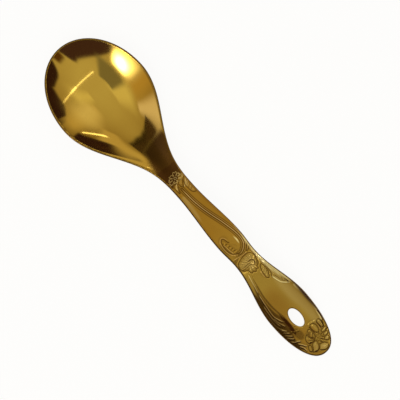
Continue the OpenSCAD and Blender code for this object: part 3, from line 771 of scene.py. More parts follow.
def end_blossom(relief, ornament):
    """Open blossom with smooth and ruffled petals round its stamens."""
    petal, vein = ornament.petal_height / MM, ornament.vein_depth / MM
    # Outline and painted highlight of each petal
    petals = [
        ([(221.6, 4), (222.1, 5.3), (224.2, 6), (226.5, 5.7), (227.8, 4.6), (227.7, 3.4), (225.9, 2.7),
          (223.6, 2.4), (222, 2.9)], 0.05),
        ([(222.9, 0.2), (223.6, 1.3), (225.6, 1.7), (227.7, 1.5), (229, 0.6), (228.6, -0.6),
          (227.1, -1.4), (225.6, -1.2), (224.2, -0.5)], 0.05),
        ([(224.9, -2), (226.5, -2.1), (228.2, -1.6), (229.7, -0.8), (230.3, -2.6), (229.7, -4.4),
          (227.7, -4.8), (225.7, -4)], 0.05),
        ([(230.8, -0.4), (232.3, -0.2), (234.1, -0.7), (235.6, -2.1), (236, -4), (234.9, -5.7),
          (233.4, -4.5), (231.7, -3.6), (230.8, -2.4)], 0.15),
        ([(230.7, -4.5), (232.8, -4.9), (234.4, -6.2), (233.3, -7), (231.7, -6.6), (230.6, -5.6)], 0.1),
        ([(234, 0.4), (234.4, 2.3), (235.5, 3.6), (236.9, 4.2), (238.2, 3.4), (238.7, 1.4),
          (237.8, -0.6), (236.5, -1.8), (235.2, -0.9)], 0.2),
        ([(232.6, 5.4), (232.7, 6.9), (234, 7.5), (235.2, 6.5), (234.8, 4.9), (233.6, 4.3)], 0.22),
        ([(230.4, 6.9), (230.7, 8.6), (232, 8.7), (232.5, 7.4), (232, 5.9), (230.8, 5.7)], 0.2),
        ([(228, 8.1), (228, 9.7), (229.4, 10), (230, 8.4), (229.7, 6.4), (228.5, 6.1)], 0.2),
    ]
    # Painted shade over the blossom's ground
    ground = [
        (221, 6.5), (224, 8), (228, 10), (232, 9), (236, 6.5), (239, 2), (238, -2.5), (236, -6),
        (232, -7.5), (226, -5), (222.5, -1.5)]
    relief.shade(ground, amount=0.38, soft=1.2)
    for outline, sheen in petals:
        relief.mound(outline, petal, shoulder=1.8, sheen=sheen)
    stamens = [
        (229.8, 2.2), (228.6, 1.7), (228.9, 0.4), (230.3, 0.6), (231.4, 1.3), (231.2, 2.7), (230, 3.5),
        (232.6, 2.2), (232.9, 0.6)]
    for middle in stamens:
        relief.petal(middle, along=0.7, across=0.55, turn=40, height=petal)
    filaments = [
        [(231.2, 3.3), (232.3, 4.1)], [(232.3, 3.1), (233.6, 3.9)], [(233.3, 2.2), (234.4, 3)]]
    for points in filaments:
        relief.rib(points, width=0.6, height=petal * 0.8)
    valleys = [
        [(222.6, 4.4), (224.4, 4.6), (226, 4)], [(226.6, 1), (228, -0.4)], [(225, 1), (227, -0.6)],
        [(228.6, -3), (228.8, -4.6)], [(231.6, -1), (233, -1.6), (234, -2.6)],
        [(231.4, -5.9), (233.2, -6.1)]]
    for points in valleys:
        relief.groove(points, width=0.6, depth=vein * 0.6)
    # Painted shade along the strokes
    strokes = [
        [(222.1, 2), (224.6, 2.2), (227.1, 2.4)], [(222.7, 7.2), (225, 7.3), (227.4, 7.2)],
        [(229.6, 6.2), (229.9, 5.2), (229.9, 4.2)], [(228, 4.4), (229.2, 3.8)],
        [(230.8, 3.9), (231.8, 4.6), (232.4, 5.1)], [(231.6, 2.8), (232.8, 3.6), (234, 4.3)],
        [(232.6, 1.6), (233.8, 2.2), (234.6, 2.9)], [(235.4, -1.3), (236, -2.8), (236.2, -4.2)],
        [(233.7, -4.6), (234.4, -5.4), (235, -6)], [(227.6, -3.4), (228.6, -2.6), (229.5, -1.6)],
        [(229.4, 0.4), (230, -0.4), (230.5, -1.4)], [(228.4, 2), (229.2, 1.2)],
        [(226.2, 1.2), (227.4, 0.2), (228.1, -0.2)], [(224.6, 0.6), (226, -0.6)]]
    relief.strokes(strokes, width=0.9, depth=vein, shade_width=0.9, shade=0.95)


def end_leaves(relief, ornament):
    """Hatched leaves along the edge beside the end's blossom, and the curved border before it."""
    leaf, rib = ornament.leaf_height / MM, ornament.rib_height / MM
    vein = ornament.vein_depth / MM
    relief.bank([(220.6, 1.2), (220.3, 4), (220.7, 6), (221.3, 8.2)], rib, rise=0.5, fall=1.3)
    relief.rib([(217.4, 11.9), (221.2, 11.6), (224.6, 10.6)], width=0.9, height=rib * 0.7)
    hatched = [
        (222, 9.2), (222.6, 7.7), (224.8, 7.5), (227, 7.9), (227.2, 9.3), (225.6, 10.1), (223.4, 10.3)]
    relief.mound(hatched, leaf, shoulder=0.8)
    relief.rib([(222.4, 6.9), (225, 7), (227.6, 6.2)], width=0.7, height=rib * 0.7)
    # Painted shade along each hatch
    for x in (222.9, 223.9, 224.9, 225.9):
        relief.groove([(x, 10), (x + 0.3, 8.2)], width=0.55, depth=vein)
        relief.shade_along([(x, 10), (x + 0.3, 8)], width=0.55, amount=0.9)


BOWL_MOTIFS = (neck_shade,)
NECK_MOTIFS = (neck_shade, neck_sprig, stem_scroll)
STEM_MOTIFS = (neck_sprig, stem_scroll, scroll_leaf, waist_blossom, waist_leaves)
GRIP_MOTIFS = (waist_blossom, waist_leaves, edge_ribs, edge_strands, end_blossom, end_leaves)

# Steps across each face and round each edge, the same on every stretch so that seams match
COLUMNS = 120
EDGE_STEPS = 8
EDGE_TURNS = math.pi * np.arange(1, EDGE_STEPS) / EDGE_STEPS

# How far a place lies below or above what is round it to show the full painted shade of a valley or
# painted highlight of crests
VALLEY_FALL = 0.085 * MM
CREST_RISE = 0.1 * MM
# How far round a place counts for that
TONE_REACH = 0.55 * MM
# Share of the painted shade on the cut edge, standing in for the darker surroundings it mirrors, and how
# it spreads
EDGE_SHADE = 0.9
EDGE_SPREAD = 0.7
# The same where the face runs out into that edge, at the bowl and along the handle
BOWL_RIM_SHADE = 0.7
HANDLE_RIM_SHADE = 0.35 * BOWL_RIM_SHADE
# How far before the bowl's end the first begins to change into the second
RIM_FADE = 15 * MM

# Distance between cross-sections on the plain bowl and under the ornament, and their number at the ends
PLAIN_STEP = 0.7 * MM
FINE_STEP = 0.25 * MM
NOSE_SECTIONS = 70
END_SECTIONS = 150

# Reach of the grid's easing round the hanging hole, as a share of the hole, and how often it is eased
HOLE_REACH = 1.35
HOLE_ROUNDS = 12


def even_places(start, end, spacing):
    """Places along the spoon from start to end, about the given spacing apart."""
    return np.linspace(start, end, math.ceil((end - start) / spacing) + 1)


def punch(form, x, y):
    """Moves the grid's points near the hanging hole onto its outline, and says which cells it takes."""

    def centres(grid):
        return (grid[:-1, :-1] + grid[1:, :-1] + grid[:-1, 1:] + grid[1:, 1:]) / 4

    cells = form.hole_share(centres(x), centres(y)) < 1
    padded = np.pad(cells, 1)
    around = padded[:-1, :-1].astype(int) + padded[1:, :-1] + padded[:-1, 1:] + padded[1:, 1:]
    border = (around > 0) & (around < 4)
    scale = np.where(border, 1 / np.maximum(form.hole_share(x, y), 0.1), 1)
    x = form.hole + (x - form.hole) * scale
    y = y * scale
    loose = (form.hole_share(x, y) < HOLE_REACH) & (around == 0)
    for _ in range(HOLE_ROUNDS):
        for grid in (x, y):
            mean = (grid[:-2, 1:-1] + grid[2:, 1:-1] + grid[1:-1, :-2] + grid[1:-1, 2:]) / 4
            grid[1:-1, 1:-1] = np.where(loose[1:-1, 1:-1], mean, grid[1:-1, 1:-1])
    return x, y, cells


def blurred(heights, spacing, reach):
    """Heights averaged over what lies round them, on a grid with a given spacing along and across."""
    smooth = heights
    for axis, step in enumerate(spacing):
        for _ in range(math.ceil(2 * (reach / step) ** 2)):
            smooth = np.moveaxis(smooth, axis, 0)
            padded = np.concatenate([smooth[:1], smooth, smooth[-1:]])
            smooth = np.moveaxis((padded[:-2] + 2 * padded[1:-1] + padded[2:]) / 4, 0, axis)
    return smooth


def edge_points(form, x, y, upper, up, thickness, side):
    """Points round the half-round edge on one side, from below the upper face to the lower one."""
    column = 0 if side < 0 else -1
    edge_x, edge_y = x[:, column], y[:, column]
    plan_x, plan_y = form.outward(edge_x, side)
    along, across = form.slopes(edge_x, edge_y)
    out = np.stack([plan_x, plan_y, along * plan_x + across * plan_y], -1)
    out = (out / np.linalg.norm(out, axis=-1, keepdims=True))[:, None, :]
    radius = thickness[:, column, None] / 2
    sweep = (np.cos(EDGE_TURNS) - 1)[:, None] * up[:, column, None] + np.sin(EDGE_TURNS)[:, None] * out
    return upper[:, column, None] + radius * sweep


def face_tones(relief, raised, spacing, edge_tone):
    """Shares of the painted shade in valleys, dark patches and edges, of the painted highlight on crests
    and of the painted sheen over the upper face.
    """
    around = blurred(raised, spacing, TONE_REACH)
    sharp = np.clip((raised - around) / CREST_RISE, 0, 1)
    valley = np.clip((around - raised) / VALLEY_FALL, 0, 1)
    shaded = np.maximum(relief.shaded * (1 - sharp), edge_tone)
    sheen = np.clip(relief.polished, 0, 1)
    painted_shade = np.maximum(valley, shaded) * (1 - sheen)
    return {"painted_shade": painted_shade, "crest": sharp * relief.ribbed, "sheen": sheen}


def section_points(form, places, motifs, ornament, with_hole):
    """Points of the closed cross-sections at some places, their tones and the punched cells."""
    x = np.repeat(places[:, None], COLUMNS + 1, 1)
    y = form.half_width(x) * np.linspace(-1, 1, COLUMNS + 1)
    cells = None
    lip = np.zeros_like(x)
    if with_hole:
        x, y, cells = punch(form, x, y)
        lip = form.hole_lip(x, y)
    relief = Relief(x, y)
    for motif in motifs:
        motif(relief, ornament)
    margin = smooth_step((form.half_width(x) - np.abs(y)) / ornament.edge_margin)
    spacing = np.ptp(places) / (len(places) - 1), 2 * form.half_width(places).mean() / COLUMNS
    raised = blurred(relief.raised - relief.sunk, spacing, ornament.softness) * MM * margin
    up = form.normal(x, y)
    upper = form.over(x, y)
    thickness = form.thickness(x)[..., None]
    top = upper + up * (raised - lip)[..., None]
    lower = upper - up * (thickness - lip[..., None])
    right, left = [edge_points(form, x, y, upper, up, thickness, side) for side in (-1, 1)]
    points = np.concatenate([top, left, lower[:, ::-1], right[:, ::-1], top[:, :1]], 1)
    # Painted shade where the face runs out into the rounded edge, stronger at the bowl
    rim = form.ease(
        BOWL_RIM_SHADE, HANDLE_RIM_SHADE, x, BOWL_END_X - TIP_X - RIM_FADE, NECK_END_X - TIP_X)
    rest = points.shape[1] - COLUMNS - 1
    tones = {
        name: np.pad(values, ((0, 0), (0, rest)))
        for name, values in face_tones(relief, raised, spacing, rim * (1 - margin)).items()}
    # Painted shade round the cut edges
    sides = np.maximum(EDGE_SHADE * np.sin(EDGE_TURNS) ** EDGE_SPREAD, rim[:, :1])
    tones["painted_shade"][:, COLUMNS + 1:COLUMNS + EDGE_STEPS] = sides
    tones["painted_shade"][:, -EDGE_STEPS:-1] = sides
    return points, tones, cells


def finished_mesh(name, shape):
    """A mesh from a shape that is done with."""
    mesh = bpy.data.meshes.new(name)
    shape.to_mesh(mesh)
    shape.free()
    return mesh


def placed(name, data):
    """An object in the scene, at its origin."""
    thing = bpy.data.objects.new(name, data)
    bpy.context.scene.collection.objects.link(thing)
    return thing


def empty_tree(owner):
    """The cleared node tree of a material or a world."""
    owner.use_nodes = True
    owner.node_tree.nodes.clear()
    return owner.node_tree


def wrapped_grid(name, points, tones, cells):
    """A grid wrapped round cross-sections, with its tones and with marks on the cells to be punched."""
    rows, ring = points.shape[0] - 1, points.shape[1] - 1
    shape = bmesh.new()
    bmesh.ops.create_grid(shape, x_segments=rows, y_segments=ring, size=1)
    mesh = finished_mesh(name, shape)
    flat = np.empty(3 * len(mesh.vertices))
    mesh.vertices.foreach_get("co", flat)
    flat = flat.reshape(-1, 3)[:, :2]
    low, span = flat.min(0), np.ptp(flat, 0)
    row, column = np.rint((flat - low) / span * (rows, ring)).astype(int).T
    centres = np.empty(3 * len(mesh.polygons))
    mesh.polygons.foreach_get("center", centres)
    centres = (centres.reshape(-1, 3)[:, :2] - low) / span * (rows, ring)
    cell_row, cell_column = np.floor(centres).astype(int).T
    punched = np.zeros((rows, ring), bool)
    if cells is not None:
        lower_first = COLUMNS + EDGE_STEPS
        punched[:, :COLUMNS] = cells
        punched[:, lower_first:lower_first + COLUMNS] = cells[:, ::-1]
    mesh.vertices.foreach_set("co", points[row, column].astype(np.float32).ravel())
    for tone, values in tones.items():
        layer = mesh.attributes.new(tone, "FLOAT", "POINT")
        layer.data.foreach_set("value", values[row, column].astype(np.float32))
    mark = mesh.attributes.new("punched", "BOOLEAN", "FACE")
    mark.data.foreach_set("value", punched[cell_row, cell_column])
    return mesh


def sheet_piece(name, points, tones, cells):
    """A stretch of sheet: a grid wrapped round its cross-sections, closed at its ends and punched."""
    mesh = wrapped_grid(name, points, tones, cells)
    shape = bmesh.new()
    shape.from_mesh(mesh)
    bmesh.ops.remove_doubles(shape, verts=shape.verts, dist=0.001 * MM)
    for face in shape.faces:
        face.smooth = True
    seams = [edge for edge in shape.edges if edge.is_boundary]
    for edge in seams:
        edge.smooth = False
    bmesh.ops.holes_fill(shape, edges=seams, sides=0)
    mark = shape.faces.layers.bool["punched"]
    cut = [face for face in shape.faces if face[mark]]
    if cut:
        bmesh.ops.delete(shape, geom=cut, context="FACES")
        rims = [edge for edge in shape.edges if edge.is_boundary]
        for face in bmesh.ops.bridge_loops(shape, edges=rims)["faces"]:
            face.smooth = True
    bmesh.ops.recalc_face_normals(shape, faces=shape.faces)
    shape.to_mesh(mesh)
    shape.free()
    mesh.attributes.remove(mesh.attributes["punched"])
    return placed(name, mesh)


def add_node(tree, kind, settings=None, inputs=None):
    """Adds a shader node: its settings, then its inputs as values or links from other sockets."""
    node = tree.nodes.new(kind)
    for name, value in (settings or {}).items():
        setattr(node, name, value)
    for name, value in (inputs or {}).items():
        if isinstance(value, bpy.types.NodeSocket):
            tree.links.new(value, node.inputs[name])
        else:
            node.inputs[name].default_value = value
    return node


def rgba(colour_value):
    """A colour with full opacity."""
    return (*colour_value, 1)


def gold_coated_steel(finish):
    """Stainless steel, mirror polished and coated gold in a vacuum.

    It gives the eye a clear warm reflection, faint polishing lines along the spoon, slow changes of tone,
    a darker handle painted in as shade for the dimmer surroundings it mirrors, painted shade in the
    ornament's hollows, dark patches and edges, and painted highlights on its crests and pale patches.
    """
    material = bpy.data.materials.get("gold_coated_polished_steel")
    if material:
        return material
    material = bpy.data.materials.new("gold_coated_polished_steel")
    tree = empty_tree(material)
    place = add_node(tree, "ShaderNodeTexCoord").outputs["Object"]
    # Polishing lines are about 0.02 mm apart. They are drawn 0.5 mm apart, so that they show
    along = add_node(tree, "ShaderNodeMapping", None, {
        "Vector": place, "Scale": (0.04, 1, 1)}).outputs["Vector"]
    lines = add_node(tree, "ShaderNodeTexNoise", None, {
        "Vector": along, "Scale": 1 / (0.5 * MM), "Detail": 3, "Roughness": 0.6}).outputs["Fac"]
    # The coating's tone drifts over about 25 mm, and darkens from the bowl to the handle: painted shade
    # for the dimmer surroundings that the handle mirrors
    drift = add_node(tree, "ShaderNodeTexNoise", None, {
        "Vector": place, "Scale": 1 / (25 * MM), "Detail": 2}).outputs["Fac"]
    lengthwise = add_node(tree, "ShaderNodeSeparateXYZ", None, {"Vector": place}).outputs["X"]
    handle_shading = add_node(tree, "ShaderNodeMapRange", {"interpolation_type": "SMOOTHSTEP"}, {
        "Value": lengthwise, "From Min": BOWL_END_X - 25 * MM, "From Max": NECK_END_X,
        "To Min": -0.15, "To Max": 0.65}).outputs["Result"]
    depth = add_node(tree, "ShaderNodeMath", {"operation": "MULTIPLY_ADD", "use_clamp": True}, {
        0: drift, 1: 0.5, 2: handle_shading}).outputs["Value"]
    handle = add_node(tree, "ShaderNodeMapRange", {"interpolation_type": "SMOOTHSTEP"}, {
        "Value": lengthwise, "From Min": STEM_END_X - 25 * MM,
        "From Max": STEM_END_X + 15 * MM}).outputs["Result"]
    deep = add_node(tree, "ShaderNodeMix", {"data_type": "RGBA"}, {
        "Factor": handle, 6: rgba(finish.shaded_gold), 7: rgba(finish.shaded_grip_gold)}).outputs[2]
    tone = add_node(tree, "ShaderNodeMix", {"data_type": "RGBA"}, {
        "Factor": depth, 6: rgba(finish.gold), 7: deep}).outputs[2]
    # Painted shade, painted highlight on crests and painted sheen, read from the mesh
    painted_shade, crest, sheen = [
        add_node(tree, "ShaderNodeAttribute", {"attribute_name": name}).outputs["Fac"]
        for name in ("painted_shade", "crest", "sheen")]
    # Painted highlight on the crests, at most seven tenths strong
    crest_glint = add_node(tree, "ShaderNodeMath", {"operation": "MULTIPLY"}, {
        0: crest, 1: 0.7}).outputs["Value"]
    for share, over in ((crest_glint, finish.crest), (sheen, finish.sheen), (painted_shade, finish.painted_shade)):
        tone = add_node(tree, "ShaderNodeMix", {"data_type": "RGBA"}, {
            "Factor": share, 6: tone, 7: rgba(over)}).outputs[2]
    gloss = add_node(tree, "ShaderNodeMapRange", None, {
        "Value": lines, "From Min": 0.3, "From Max": 0.7,
        "To Min": finish.roughness * 0.8, "To Max": finish.roughness * 1.3}).outputs["Result"]
    dull = add_node(tree, "ShaderNodeMath", {"operation": "MULTIPLY_ADD"}, {
        0: painted_shade, 1: 0.25, 2: gloss}).outputs["Value"]
    bump = add_node(tree, "ShaderNodeBump", None, {
        "Height": lines, "Strength": 0.03, "Distance": 0.02 * MM}).outputs["Normal"]
    metal = add_node(tree, "ShaderNodeBsdfPrincipled", None, {
        "Base Color": tone, "Metallic": 1, "Roughness": dull, "Normal": bump})
    add_node(tree, "ShaderNodeOutputMaterial", None, {"Surface": metal.outputs["BSDF"]})
    return material


def make_stretch(name, places, motifs, nodes, with_hole=False):
    """Makes one stretch of the spoon's sheet with its ornament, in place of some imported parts."""
    scene = bpy.context.scene
    form = SheetForm(scene.spoon_sizes)
    points, tones, cells = section_points(form, places, motifs, scene.spoon_ornament, with_hole)
    piece = sheet_piece(name, points, tones, cells)
    piece.data.materials.append(gold_coated_steel(scene.spoon_finish))
    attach(piece, "root")
    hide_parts(*nodes)


class SPOON_OT_bowl(bpy.types.Operator):
    """Make the deep oval bowl with its rounded rim"""

    bl_idname = "spoon.make_bowl"
    bl_label = "Bowl"

    def execute(self, context):
        form = SheetForm(context.scene.spoon_sizes)
        turns = np.linspace(0, math.pi / 2, NOSE_SECTIONS)[:-1]
        nose = form.belly - form.nose * np.cos(turns)
        throat = even_places(form.belly, BOWL_END_X - TIP_X, PLAIN_STEP)
        make_stretch("bowl_sheet", np.concatenate([nose, throat]), BOWL_MOTIFS, ["bowl"])
        return {"FINISHED"}


class SPOON_OT_neck(bpy.types.Operator):
    """Make the narrow neck with its sprig"""

    bl_idname = "spoon.make_neck"
    bl_label = "Neck"

    def execute(self, context):
        places = even_places(BOWL_END_X - TIP_X, NECK_END_X - TIP_X, FINE_STEP)
        make_stretch("neck_sheet", places, NECK_MOTIFS, ["neck", "neck_sprig"])
        return {"FINISHED"}


class SPOON_OT_stem(bpy.types.Operator):
    """Make the arched stem with its scroll"""

    bl_idname = "spoon.make_stem"
    bl_label = "Stem"

    def execute(self, context):
        places = even_places(NECK_END_X - TIP_X, STEM_END_X - TIP_X, FINE_STEP)
        make_stretch("stem_sheet", places, STEM_MOTIFS, ["stem", "stem_scroll", "scroll_leaf"])
        return {"FINISHED"}


class SPOON_OT_grip(bpy.types.Operator):
    """Make the wide grip with its hanging hole, blossoms, leaves and ribs"""

    bl_idname = "spoon.make_grip"
    bl_label = "Grip"

    def execute(self, context):
        form = SheetForm(context.scene.spoon_sizes)
        widening = even_places(STEM_END_X - TIP_X, form.grip, FINE_STEP)
        turns = np.linspace(0, math.pi / 2, END_SECTIONS)[1:]
        end = form.grip + form.end_length * np.sin(turns) ** (2 / form.end_power)
        nodes = [
            "grip", "waist_blossom", "waist_leaves", "edge_ribs", "edge_strands", "end_blossom",
            "end_leaves"]
        make_stretch("grip_sheet", np.concatenate([widening, end]), GRIP_MOTIFS, nodes, with_hole=True)
        return {"FINISHED"}


class Board(NamedTuple):
    """A soft-edged upright board round the spoon, in metres, which only its metal mirrors.

    Its path is seen from above, and soft is the width over which its edges fade out.
    """

    path: list
    bottom: float
    top: float
    soft: float
    colour: str
    brightness: float = 1


class Tube(NamedTuple):
    """A thin lamp across the spoon, in metres, which only its metal mirrors."""

    middle: tuple
    length: float
    radius: float
    brightness: float


# Half the floor's side, and how much of it is plain white where it is seen directly
FLOOR_REACH = 20
FLOOR_WHITE = 0.92

# Cells along and up each board
BOARD_COLUMNS = 64
BOARD_ROWS = 24

TIP_PATH = [(-1.9, 1.8), (-1.5, 1.3), (-1.12, 0.3), (-1.2, -0.5), (-1.5, -1.2), (-2.08, -2.34)]

# Dark flags and pale boards that give the polished metal its bands
BOARDS = {
    "far_flag": Board(
        [(7.2, 2.7), (4.6, 3), (3.8, 3.3), (3.45, 3.9), (3.4, 5), (3.4, 7)], -1, 4.1, 0.4, "#3E2934"),
    "far_low_flag": Board(
        [(1.3, 1), (0.59, 1.21), (0.33, 1.31), (0.14, 1.38), (-0.02, 1.9), (-0.24, 3)],
        -0.5, 0.73, 0.12, "#3E2934"),
    "end_flag": Board([(2.7, 0.2), (2.7, 1.5)], -0.5, 2.8, 0.4, "#6A4A22"),
    "near_flag": Board(
        [(1.8, 0.32), (1, -0.05), (0.96, -0.31), (0.88, -0.65), (0.8, -1.03), (0.71, -1.55),
         (0.66, -3.2)],
        -0.5, 1.4, 0.2, "#523C4B"),
    "handle_flag": Board(
        [(-0.03, -0.036), (0.05, -0.032), (0.13, -0.042)], -0.02, 0.046, 0.008, "#6E5C48"),
    "tip_flag": Board(TIP_PATH, -0.5, 1.3, 0.1, "#54443C"),
    "tip_flag_top": Board([(x + 0.02, y) for x, y in TIP_PATH], 1.12, 1.3, 0.08, "#2A2018"),
    "corner_flag": Board([(-0.45, 1.4), (-0.68, 1.35), (-0.99, 1.19)], -0.3, 0.36, 0.08, "#3C2630"),
    "end_card": Board([(0.16, -0.1), (0.165, 0.04)], 0.08, 0.2, 0.04, "#DCC9A0"),
    "pale_side": Board([(-1.78, -2.78), (-2, -2.62), (-2.3, -2.36)], -0.3, 2.2, 0.3, "#D8D4F0", 1.75),
    "pale_corner": Board([(-1.5, 2.75), (-1.9, 2.5), (-2.25, 2.2)], -0.3, 2.4, 0.3, "#FFEFC8", 0.85),
    "side_panel": Board([(-0.4, -1.05), (0.1, -1.2), (0.75, -1)], 0.9, 2.7, 0.25, "#A8A79E", 0.85),
    "side_glow": Board([(0.3, 2.05), (-0.3, 2.05), (-0.9, 1.85)], 0.1, 1.9, 0.6, "#F4E2B4", 0.92),
    "high_glow": Board([(0.45, 2.2), (-0.5, 2.2), (-1.7, 2.2)], 0.8, 5.4, 1.2, "#FFF4DC", 0.98),
    "left_glow": Board([(1.7, 1.9), (0.6, 2.15), (-0.6, 2.15)], 1.7, 7.5, 1.2, "#FFFCDE", 1.12),
    "middle_glow": Board([(0.1, 0.5), (-0.1, 0.54), (-0.38, 0.45)], 0.15, 1.05, 0.3, "#FFFAF0", 1.13),
    "right_glow": Board([(0.6, -2.1), (-0.75, -2), (-2.1, -1.6)], 1.2, 6, 1.2, "#FFFCDE", 1.08),
    "warm_side": Board([(0.2, -2.75), (-1, -2.6), (-2, -2.2)], -0.3, 2.6, 1, "#E0C488"),
    "panel_glow": Board([(-0.26, -0.45), (-0.09, -0.5), (0.08, -0.46)], 0, 0.46, 0.2, "#FFFFFF", 1.3),
    "panel": Board([(-0.2, -0.47), (-0.06, -0.49), (0.08, -0.46)], 0.07, 0.43, 0.16, "#FFFFFF", 5),
    "panel_core": Board(
        [(-0.14, -0.46), (-0.05, -0.47), (0.05, -0.45)], 0.16, 0.38, 0.11, "#FFFFFF", 30),
}

TUBES = {
    "long_tube": Tube((0.94, 2, 2.5), 5.8, 0.03, 3),
    "long_tube_core": Tube((0.94, 1.9, 2.5), 1.1, 0.04, 5),
    "short_tube": Tube((-1.3, 2.7, 1), 1.6, 0.06, 3.5),
}


def emission_only(name, mesh, hex_colour, brightness, cover=None):
    """A stage object that shows only in gloss, and fades out where its cover attribute does."""
    thing = placed(name, mesh)
    material = bpy.data.materials.new(name)
    tree = empty_tree(material)
    surface = add_node(tree, "ShaderNodeEmission", None, {
        "Color": rgba(linear(hex_colour)), "Strength": brightness}).outputs["Emission"]
    if cover:
        share = add_node(tree, "ShaderNodeAttribute", {"attribute_name": cover}).outputs["Fac"]
        clear = add_node(tree, "ShaderNodeBsdfTransparent").outputs["BSDF"]
        surface = add_node(tree, "ShaderNodeMixShader", None, {
            0: share, 1: clear, 2: surface}).outputs["Shader"]
    add_node(tree, "ShaderNodeOutputMaterial", None, {"Surface": surface})
    mesh.materials.append(material)
    thing.visible_camera = False
    thing.visible_diffuse = False
    thing.visible_shadow = False


def make_board(name, board):
    """An upright board along a curved path, which fades out at its edges."""
    line = curve_through(board.path)
    travelled = np.concatenate([[0], np.cumsum(np.hypot(*np.diff(line, axis=0).T))])
    span, rise = travelled[-1], board.top - board.bottom
    shape = bmesh.new()
    bmesh.ops.create_grid(shape, x_segments=BOARD_COLUMNS, y_segments=BOARD_ROWS, size=1)
    cover = shape.verts.layers.float.new("cover")
    for vert in shape.verts:
        along = span * (1 + vert.co.x) / 2
        height = rise * (1 + vert.co.y) / 2
        sideways = smooth_step(min(along, span - along) / board.soft)
        vert[cover] = sideways * smooth_step(min(height, rise - height) / board.soft)
        place = [np.interp(along, travelled, line[:, axis]) for axis in (0, 1)]
        vert.co = (*place, board.bottom + height)
    emission_only(name, finished_mesh(name, shape), board.colour, board.brightness, "cover")


def make_tube(name, tube):
    """A round tube that glows evenly."""
    shape = bmesh.new()
    bmesh.ops.create_cone(
        shape, cap_ends=True, segments=16, radius1=tube.radius, radius2=tube.radius, depth=tube.length)
    bmesh.ops.rotate(shape, verts=shape.verts, matrix=Matrix.Rotation(math.radians(90), 3, "X"))
    bmesh.ops.translate(shape, verts=shape.verts, vec=tube.middle)
    emission_only(name, finished_mesh(name, shape), "#FFFFFF", tube.brightness)


def make_world():
    """A plain warm studio that is bright overhead and dimmer towards the horizon."""
    world = bpy.data.worlds.new("studio")
    tree = empty_tree(world)
    way = add_node(tree, "ShaderNodeTexCoord").outputs["Generated"]
    brightest = Vector((0.25, -0.1, 0.95)).normalized()
    towards = add_node(tree, "ShaderNodeVectorMath", {"operation": "DOT_PRODUCT"}, {
        0: way, 1: brightest}).outputs["Value"]
    share = add_node(tree, "ShaderNodeMapRange", None, {
        "Value": towards, "From Min": 0, "From Max": 0.95}).outputs["Result"]
    tint = add_node(tree, "ShaderNodeMix", {"data_type": "RGBA"}, {
        "Factor": share, 6: rgba(linear("#E2C990")), 7: rgba(linear("#EAE4C6"))}).outputs[2]
    strength = add_node(tree, "ShaderNodeMapRange", None, {
        "Value": share, "To Min": 0.5, "To Max": 1}).outputs["Result"]
    glow = add_node(tree, "ShaderNodeBackground", None, {"Color": tint, "Strength": strength})
    add_node(tree, "ShaderNodeOutputWorld", None, {"Surface": glow.outputs["Background"]})
    bpy.context.scene.world = world


def make_lamp():
    """A wide soft lamp overhead, which lights the floor and gives the spoon its soft shadow."""
    data = bpy.data.lights.new("soft_lamp", "AREA")
    data.size = 1.2
    data.energy = 12
    lamp = placed("soft_lamp", data)
    turn, climb, distance = math.radians(-60), math.radians(65), 2
    way = Vector((math.cos(turn) * math.cos(climb), math.sin(turn) * math.cos(climb), math.sin(climb)))
    lamp.location = way * distance
    lamp.rotation_euler = way.to_track_quat("Z", "Y").to_euler()
    lamp.visible_camera = False
    lamp.visible_glossy = False


def make_camera(stage):
    """A camera nearly straight over the spoon, turned so that it lies across the square picture."""
    middle = Vector((stage.view_x, stage.view_y, (CAD_BOX[0].z + CAD_BOX[1].z) / 2))
    back = Vector((math.tan(stage.lean_x), math.tan(stage.lean_y), 1)).normalized()
    right = Vector((-math.sin(stage.view_turn), math.cos(stage.view_turn), 0)).cross(back).normalized()
    turned = Matrix((right, back.cross(right), back)).transposed()
    camera = placed("camera", bpy.data.cameras.new("camera"))
    camera.location = middle + back * stage.camera_distance
    camera.rotation_euler = turned.to_euler()
    camera.data.sensor_width = 36
    camera.data.lens = camera.data.sensor_width * stage.camera_distance / stage.view_width
    bpy.context.scene.camera = camera


def seen_directly(tree):
    """1 for rays from the camera, from gloss and through glass, and 0 for the rest."""
    path = add_node(tree, "ShaderNodeLightPath").outputs
    seen = path["Is Camera Ray"]
    for name in ("Is Glossy Ray", "Is Transmission Ray"):
        seen = add_node(tree, "ShaderNodeMath", {"operation": "MAXIMUM"}, {
            0: seen, 1: path[name]}).outputs["Value"]
    return seen


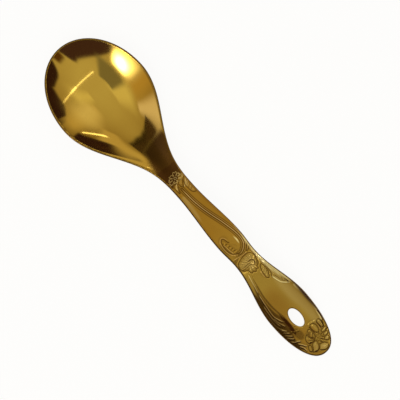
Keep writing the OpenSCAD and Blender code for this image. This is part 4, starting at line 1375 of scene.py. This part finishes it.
def make_floor(stage):
    """A plain pale floor that shows white and keeps the spoon's soft shadow."""
    shape = bmesh.new()
    bmesh.ops.create_grid(shape, x_segments=1, y_segments=1, size=FLOOR_REACH)
    mesh = finished_mesh("floor", shape)
    floor = placed("floor", mesh)
    floor.location.z = FLOOR_Z
    material = bpy.data.materials.new("pale_floor")
    tree = empty_tree(material)
    share = add_node(tree, "ShaderNodeMath", {"operation": "MULTIPLY"}, {
        0: seen_directly(tree), 1: FLOOR_WHITE})
    board = add_node(tree, "ShaderNodeBsdfDiffuse", None, {"Color": rgba(stage.floor_colour)})
    white = add_node(tree, "ShaderNodeEmission", None, {"Color": (1, 1, 1, 1), "Strength": 1})
    mixed = add_node(tree, "ShaderNodeMixShader", None, {
        0: share.outputs["Value"], 1: board.outputs["BSDF"], 2: white.outputs["Emission"]})
    add_node(tree, "ShaderNodeOutputMaterial", None, {"Surface": mixed.outputs["Shader"]})
    mesh.materials.append(material)


class SPOON_OT_stage(bpy.types.Operator):
    """Make the floor, the lights and the camera"""

    bl_idname = "spoon.make_stage"
    bl_label = "Stage"

    def execute(self, context):
        stage = context.scene.spoon_stage
        context.scene.view_settings.view_transform = "Standard"
        make_floor(stage)
        make_world()
        make_lamp()
        for name, tube in TUBES.items():
            make_tube(name, tube)
        for name, board in BOARDS.items():
            make_board(name, board)
        make_camera(stage)
        return {"FINISHED"}


class SPOON_PT_panel(bpy.types.Panel):
    """Lists what the spoon is made of"""

    bl_idname = "SPOON_PT_panel"
    bl_label = "Rice Serving Spoon"
    bl_space_type = "VIEW_3D"
    bl_region_type = "UI"
    bl_category = "Spoon"

    def draw(self, context):
        for operator in OPERATORS:
            self.layout.operator(operator.bl_idname)
        for name, group in GROUPS.items():
            box = self.layout.box()
            for setting in group.__annotations__:
                box.prop(getattr(context.scene, name), setting)


GROUPS = {
    "spoon_sizes": SpoonSizes,
    "spoon_ornament": SpoonOrnament,
    "spoon_finish": SpoonFinish,
    "spoon_stage": SpoonStage,
}
OPERATORS = (SPOON_OT_bowl, SPOON_OT_neck, SPOON_OT_stem, SPOON_OT_grip, SPOON_OT_stage)
CLASSES = (*GROUPS.values(), *OPERATORS, SPOON_PT_panel)


def register():
    """Registers the classes and gives scenes their settings."""
    for each in CLASSES:
        bpy.utils.register_class(each)
    for name, group in GROUPS.items():
        setattr(bpy.types.Scene, name, PointerProperty(type=group))


def unregister():
    """Takes the settings and the classes away again."""
    for name in GROUPS:
        delattr(bpy.types.Scene, name)
    for each in reversed(CLASSES):
        bpy.utils.unregister_class(each)


def main():
    """Makes the spoon and its stage."""
    register()
    bpy.ops.spoon.make_bowl()
    bpy.ops.spoon.make_neck()
    bpy.ops.spoon.make_stem()
    bpy.ops.spoon.make_grip()
    bpy.ops.spoon.make_stage()


if __name__ == "__main__":
    main()
